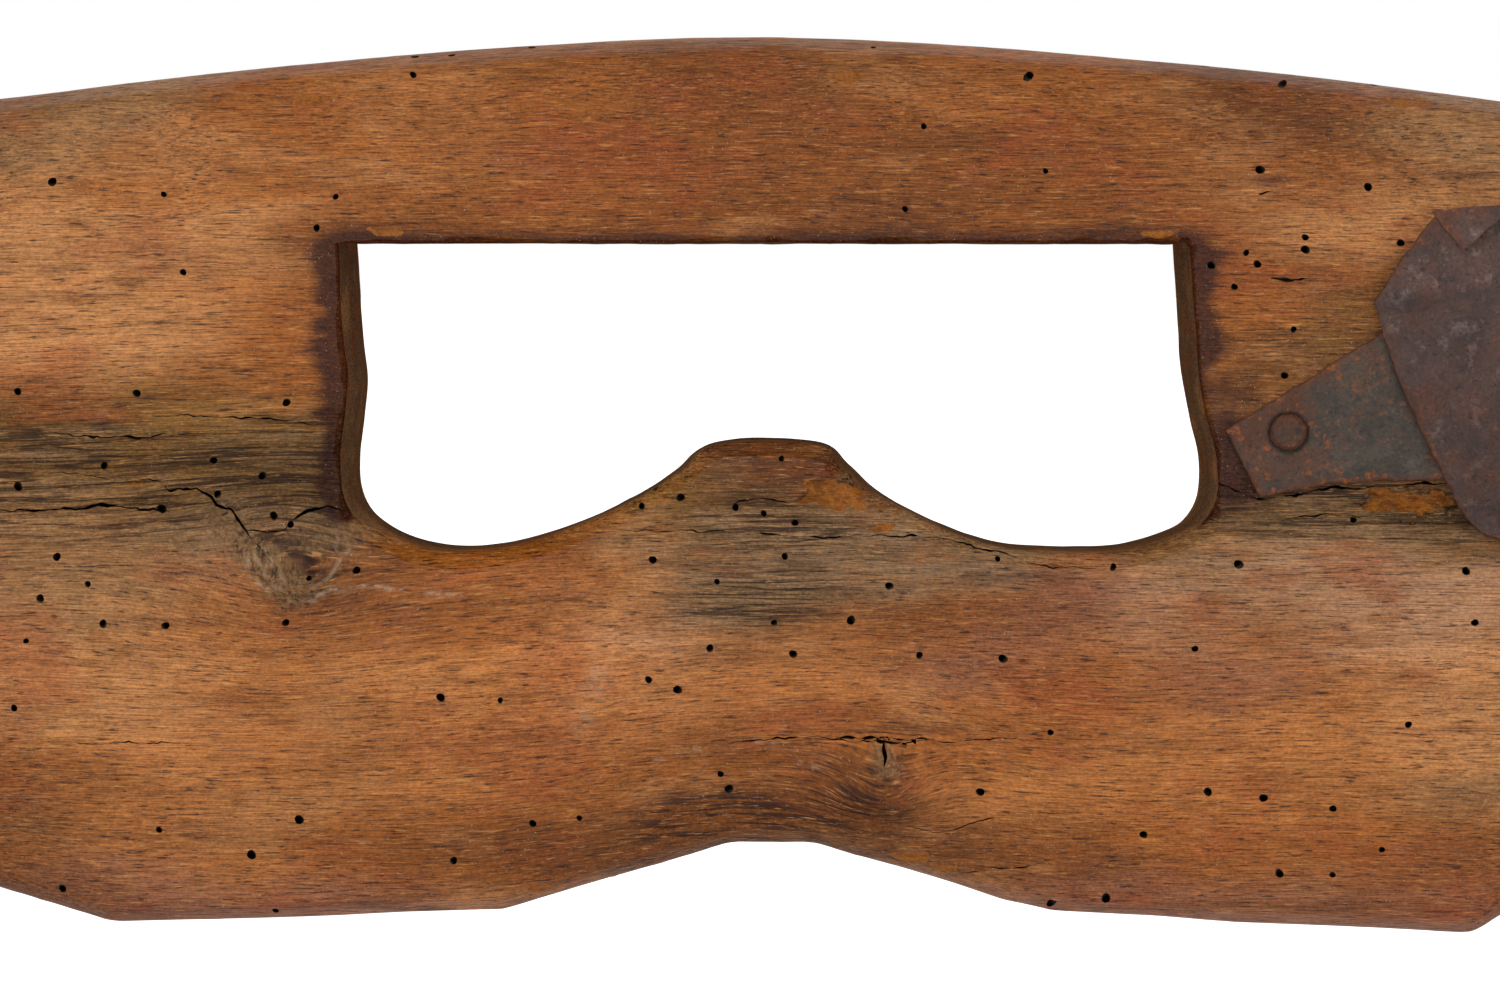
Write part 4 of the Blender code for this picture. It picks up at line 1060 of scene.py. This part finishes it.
    fine = s.math("ADD", s.math("MULTIPLY", fibres, 0.8), s.math("ADD", pores, dashes))
    normal = s.bump(fine, 0.0003, 0.7)
    opened = s.math("SUBTRACT", s.math("MULTIPLY", pits, crumb), s.math("MULTIPLY", furrows, weather))
    deep = s.math("ADD", s.math("MULTIPLY", s.math("ADD", dashes, streaks), s.math("MAXIMUM", weather, worn)), opened)
    normal = s.bump(deep, 0.0010, 0.7, normal)
    rough = s.math("ADD", s.ramp(dashes, 0.3, 0.7, 0.60, 0.42), s.math("MULTIPLY", weather, 0.25), clamp=True)
    s.shader.inputs["Specular IOR Level"].default_value = gloss
    return s.finish(colour, rough, normal)


def bore_and_crack_shade():
    """The inside of cracks and woodworm bores, near black: partly the inner wood's own darker colour, partly painted
    shade of their depths.
    """
    s = Shading("bore_shade")
    grain = s.attribute("grain", "Vector")
    dust = s.noise(grain, 1, 3.0, 0.6, (300, 300, 500))
    colour = s.mix(s.ramp(dust, 0.4, 0.7), (0.012, 0.008, 0.005), (0.06, 0.038, 0.02))
    s.shader.inputs["Specular IOR Level"].default_value = 0.1
    return s.finish(colour, 0.9)


def rusted_iron(name, body, spots, bloom):
    """Hammered iron under old rust: a dark body, a paler bloom, browned edges, orange spots and black pits."""
    s = Shading(name)
    where = s.nodes.new("ShaderNodeTexCoord").outputs["Object"]
    edge, ring = s.attribute("edge"), s.attribute("ring")
    broad = s.noise(where, 60, 5.0, 0.65)
    cloud = s.noise(where, 210, 5.0, 0.7)
    grit = s.noise(where, 800, 4.0, 0.65)
    blots = s.noise(where, 420, 3.0, 0.6)
    spread = s.noise(where, 45, 3.0, 0.6)
    speckle = s.noise(where, 1100, 3.0, 0.7)
    ember, char = tuple(TONES["ember"] * 0.8), tuple(TONES["char"])
    colour = s.mix(s.ramp(broad, 0.36, 0.62), tuple(TONES[body] * 0.6), tuple(TONES[body] * 1.15))
    colour = s.mix(s.ramp(cloud, 0.52, 0.68, 0.0, bloom), colour, tuple(TONES["bloom"]))
    colour = s.mix(s.ramp(spread, 0.48, 0.66, 0.0, 0.5), colour, tuple(TONES["rust"] * 0.8))
    colour = s.mix(1.0, colour, s.ramp(speckle, 0.3, 0.7, 0.72, 1.28), "MULTIPLY")
    colour = s.mix(s.ramp(cloud, 0.46, 0.26, 0.0, 0.7), colour, tuple(TONES["rust"] * 0.6))
    browned = s.math("ADD", s.math("MULTIPLY", edge, 0.5), s.math("MULTIPLY", s.math("ADD", spread, cloud), 0.5))
    brown = s.mix(s.ramp(grit, 0.46, 0.7), tuple(TONES["rust"] * 0.55), tuple(TONES["rust"]))
    colour = s.mix(s.ramp(browned, 0.52, 1.0, 0.0, 0.75), colour, brown)
    spotted = s.math("MULTIPLY", s.ramp(blots, 0.56, 0.70, 0.0, spots), s.ramp(s.math("ADD", spread, edge), 0.4, 0.7))
    colour = s.mix(spotted, colour, ember)
    colour = s.mix(s.ramp(grit, 0.44, 0.28, 0.0, 0.85), colour, char)
    colour = s.mix(s.ramp(blots, 0.40, 0.27, 0.0, 0.8), colour, char)
    colour = s.mix(s.ramp(grit, 0.60, 0.76, 0.0, 0.35), colour, tuple(TONES["stone"]))
    # Darker where the ring attribute says: a dark ring round the rivet, and painted shade along the cover plate's
    # crease.
    colour = s.mix(s.math("MULTIPLY", ring, 0.85), colour, tuple(TONES["char"] * 0.6))
    rough = s.math("ADD", s.math("MULTIPLY", cloud, 0.8), s.math("MULTIPLY", grit, 0.7))
    normal = s.bump(rough, 0.0007, 0.8)
    s.shader.inputs["Specular IOR Level"].default_value = 0.4
    return s.finish(colour, s.ramp(cloud, 0.3, 0.7, 0.5, 0.75), normal, 0.2)


# --- Bows and keys ----------------------------------------------------------------------------------------------

BOW_BEND_H = -138.0  # the height at which a bow's legs begin to bend
BOW_BEND_RADIUS = 120.0
BOW_RADIUS = 18.0
NECK_X = 365.0  # how far each neck seat's middle is from the beam's


def fine_copy(node, name, body, voxel, material):
    """A fine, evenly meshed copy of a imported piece, to take its place."""
    obj = new_mesh_object(name, frame["nodes"][node].data.copy())
    obj.data.materials.clear()
    mesh = remeshed(obj, voxel)
    mesh.materials.append(material)
    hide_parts(node)
    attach(obj, body)
    return obj


def dress_wood(mesh, along, side, across, tones, seed):
    """Grain, tone and wear on a plain wooden piece."""
    g = np.column_stack([along, side, across])
    mix = ease(noise(g, (90, 14, 9), seed) + 0.6 * noise(g, (30, 12, 6), seed + 1), -0.7, 0.7)[:, None]
    set_attribute(mesh, "grain", g * MM)
    set_attribute(mesh, "tone", TONES[tones[0]] * (1 - mix) + TONES[tones[1]] * mix)
    set_attribute(mesh, "weather", 0.7 * ease(noise(g, (120, 20, 16), seed + 2), 0.2, 0.8))
    set_attribute(mesh, "raw", np.zeros(len(along)))
    for name in ("groove", "crumb", "pale", "worn"):
        set_attribute(mesh, name, np.zeros(len(along)))
    set_attribute(mesh, "stain_and_shade", 0.6 * ease(noise(g, (60, 24, 24), seed + 3), 0.5, 0.9))
    mesh.shade_smooth()
    mesh.set_sharp_from_angle(angle=math.radians(50))


def make_bow(side, neck_x, seed, material):
    obj = fine_copy(f"bow_{side}", f"bent_bow_{side}", f"{side}_bow", 1.8, material)
    mesh = obj.data
    points, normals = points_of(mesh), normals_of(mesh)
    x, y, h = to_beam(points)
    dx, drop = x - neck_x, BOW_BEND_H - h
    turn = np.arctan2(dx, np.maximum(drop, 0))
    along = np.where(drop > 0, BOW_BEND_RADIUS * turn, np.sign(dx) * (BOW_BEND_RADIUS * math.pi / 2 - drop))
    outward = np.where(drop > 0, np.hypot(dx, drop), np.abs(dx)) - BOW_BEND_RADIUS
    off = np.hypot(outward, y)
    rounder = (BOW_RADIUS / np.maximum(off, 1) - 1) * ease(h, BOW_BEND_H + 24, BOW_BEND_H + 8) * (off > 14)
    away = rounder * outward / (BOW_BEND_RADIUS + outward)
    points[:, 0] += dx * away * MM
    points[:, 1] += y * rounder * MM
    points[:, 2] -= np.where(drop > 0, drop * away, 0) * MM
    g = np.column_stack([along, y, outward])
    shaved = -0.28 * np.abs(noise(g, (80, 12, 12), seed + 5)) - 0.1 * np.abs(noise(g, (20, 6, 6), seed + 6))
    set_points(mesh, points + normals * shaved[:, None] * MM)
    dress_wood(mesh, along, y, outward, ("fawn", "chestnut"), seed)


def make_key(side, place_name, seed, material):
    obj = fine_copy(f"key_{side}_{place_name}", f"whittled_key_{side}_{place_name}", f"{side}_{place_name}_key",
                    0.9, material)  # fmt: skip
    mesh = obj.data
    points, normals = points_of(mesh), normals_of(mesh)
    x, y, h = to_beam(points)
    g = np.column_stack([y, x, h])
    cut = -0.3 * np.abs(noise(g, (13, 9, 7), seed + 5)) - 0.08 * np.abs(noise(g, (5, 3, 3), seed + 6))
    set_points(mesh, points + normals * cut[:, None] * MM)
    dress_wood(mesh, y, x, h, ("umber", "fawn"), seed)


# --- Iron -------------------------------------------------------------------------------------------------------


def edge_share(mesh, spread):
    """1 along a plate's rim and holes, fading inwards."""
    found = (np.abs(normals_of(mesh)[:, 1:2]) < 0.8).astype(float)
    edges = edges_of(mesh)
    for _ in range(spread):
        found = np.maximum(found * 0.985, neighbour_mean(found, edges))
    return np.clip(found[:, 0] * 1.3, 0, 1)


def make_iron(node, name, voxel, material, seed, dent=0.16, spread=12):
    """A hammered, pitted copy of an iron piece."""
    obj = fine_copy(node, name, "beam", voxel, material)
    mesh = obj.data
    points, normals = points_of(mesh), normals_of(mesh)
    x, y, h = to_beam(points)
    p = np.column_stack([x, y, h])
    rim = edge_share(mesh, spread)
    relief = dent * (noise(p, (17, 17, 17), seed) + 0.5 * noise(p, (7, 7, 7), seed + 1))
    pits = ease(noise(p, (2.4, 2.4, 2.4), seed + 2), 0.35, 0.8)
    relief -= 0.22 * pits + 0.05 * np.abs(noise(p, (1.2, 1.2, 1.2), seed + 3))
    relief += (rim > 0.9) * 0.3 * noise(p, (3.5, 9, 3.5), seed + 4)
    ring = np.zeros(len(x))
    if node == "cover_plate":
        start, end = np.array(COVER_CREASE[0]), np.array(COVER_CREASE[1])
        way = (end - start) / np.linalg.norm(end - start)
        off = (np.column_stack([x, h]) - start) @ np.array([-way[1], way[0]])
        relief -= 1.3 * np.exp(-((off / 6.0) ** 2))
        # Painted shade: the ring attribute darkens the plate along the crease and over its part on one side of it.
        ring = 0.45 * np.exp(-(((off + 1.5) / 2.5) ** 2)) + 0.3 * ease(off, 1, -8)
    if node == "front_mending_plate":
        pin = frame["nodes"]["rivet_inner"]
        low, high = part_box(pin.name)
        from_pin = np.hypot(x - (low.x + high.x) / 2 / MM, h - ((low.z + high.z) / 2 - NOTCH_Z) / MM)
        ring = ease(np.abs(from_pin - 5.2), 0.7, 0.2) * (y < -HALF_DEPTH)
        relief -= 0.45 * ease(from_pin, 6.5, 5.0) * (y < -HALF_DEPTH)
        rim = np.maximum(rim, 0.9 * spot(x, h, (133, 113), (13, 13), 1.2))
    set_points(mesh, points + normals * relief[:, None] * MM)
    set_attribute(mesh, "edge", rim)
    set_attribute(mesh, "ring", ring)
    mesh.shade_smooth()
    mesh.set_sharp_from_angle(angle=math.radians(60))
    return obj


COVER_CREASE = ((160.9, 145.8), (196.0, 150.0))  # the line along which the cover plate has been bent
FOLD = ((177.2, 170.0), (185.9, 159.4), (200.0, 172.2))  # corners of the cover plate's turned-back flap
FOLD_LIFT = (0.4, 1.5, 2.4)  # how far each stands off the plate
FOLD_THICKNESS = 1.3


def make_fold(plate, material):
    """The flap of sheet turned back over the cover plate's top edge, its long free edge curling up."""
    front = face_surface(np.column_stack(to_beam(points_of(plate.data))), normals_of(plate.data), -1)
    corners = np.array(FOLD)
    heights = np.array([front(*c) for c in FOLD]) - FOLD_LIFT
    count = 26
    work, grid = bmesh.new(), {}
    for i in range(count + 1):
        for j in range(count + 1 - i):
            share = np.array([count - i - j, i, j]) / count
            (x, h), y = share @ corners, share @ heights
            y -= 0.9 * math.exp(-share[0] * 6) + 0.5 * min(share) * 3
            wobble = np.array([[x, y, h]])
            y += 0.25 * float(noise(wobble, (4, 4, 4), 91)[0])
            x += 0.3 * float(noise(wobble, (3, 3, 3), 92)[0])
            h += 0.3 * float(noise(wobble, (3, 3, 3), 93)[0])
            grid[i, j] = (work.verts.new(place(x, y, h)), work.verts.new(place(x, y + FOLD_THICKNESS, h)))
    for i in range(count):
        for j in range(count - i):
            tris = [((i, j), (i + 1, j), (i, j + 1))]
            if i + j < count - 1:
                tris.append(((i + 1, j), (i + 1, j + 1), (i, j + 1)))
            for a, b, c in tris:
                work.faces.new([grid[k][0] for k in (a, b, c)])
                work.faces.new([grid[k][1] for k in (c, b, a)])
    rim = [(i, 0) for i in range(count)] + [(count - j, j) for j in range(count)]
    rim += [(0, count - j) for j in range(count)]
    for a, b in zip(rim, rim[1:] + rim[:1], strict=True):
        work.faces.new([grid[a][0], grid[b][0], grid[b][1], grid[a][1]])
    obj = closed_cutter("cover_fold", work)
    mesh = obj.data
    mesh.materials.append(material)
    set_attribute(mesh, "edge", edge_share(mesh, 3))
    set_attribute(mesh, "ring", np.zeros(len(mesh.vertices)))
    mesh.shade_smooth()
    mesh.set_sharp_from_angle(angle=math.radians(50))
    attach(obj, "beam")


make_beam(aged_wood("beam_wood"), aged_wood("window_wall_wood", 0.0), bore_and_crack_shade())
BOW_WOOD, KEY_WOOD = aged_wood("bow_wood"), aged_wood("key_wood")
make_bow("left", -NECK_X, 200, BOW_WOOD)
make_bow("right", NECK_X, 220, BOW_WOOD)
for index, (side, place_name) in enumerate((("left", "outer"), ("left", "inner"), ("right", "inner"), ("right", "outer"))):
    make_key(side, place_name, 240 + 10 * index, KEY_WOOD)
STRAP_IRON = rusted_iron("strap_iron", "slate", 0.9, 0.2)
COVER_IRON = rusted_iron("cover_iron", "iron", 0.5, 0.5)
RIVET_IRON = rusted_iron("rivet_iron", "rivet", 0.5, 0.1)
make_iron("front_mending_plate", "hammered_front_plate", 0.6, STRAP_IRON, 300)
make_iron("back_mending_plate", "hammered_back_plate", 0.9, STRAP_IRON, 310)
make_fold(make_iron("cover_plate", "hammered_cover_plate", 0.6, COVER_IRON, 320, 0.22), COVER_IRON)
for index, node in enumerate(("rivet_inner", "rivet_outer_upper", "rivet_outer_lower")):
    make_iron(node, f"rusted_{node}", 0.4, RIVET_IRON, 330 + 5 * index, 0.1, 3)
for index in range(4):
    make_iron(f"cover_nail_{index + 1}", f"rusted_cover_nail_{index + 1}", 0.4, RIVET_IRON, 350 + 5 * index, 0.1, 3)
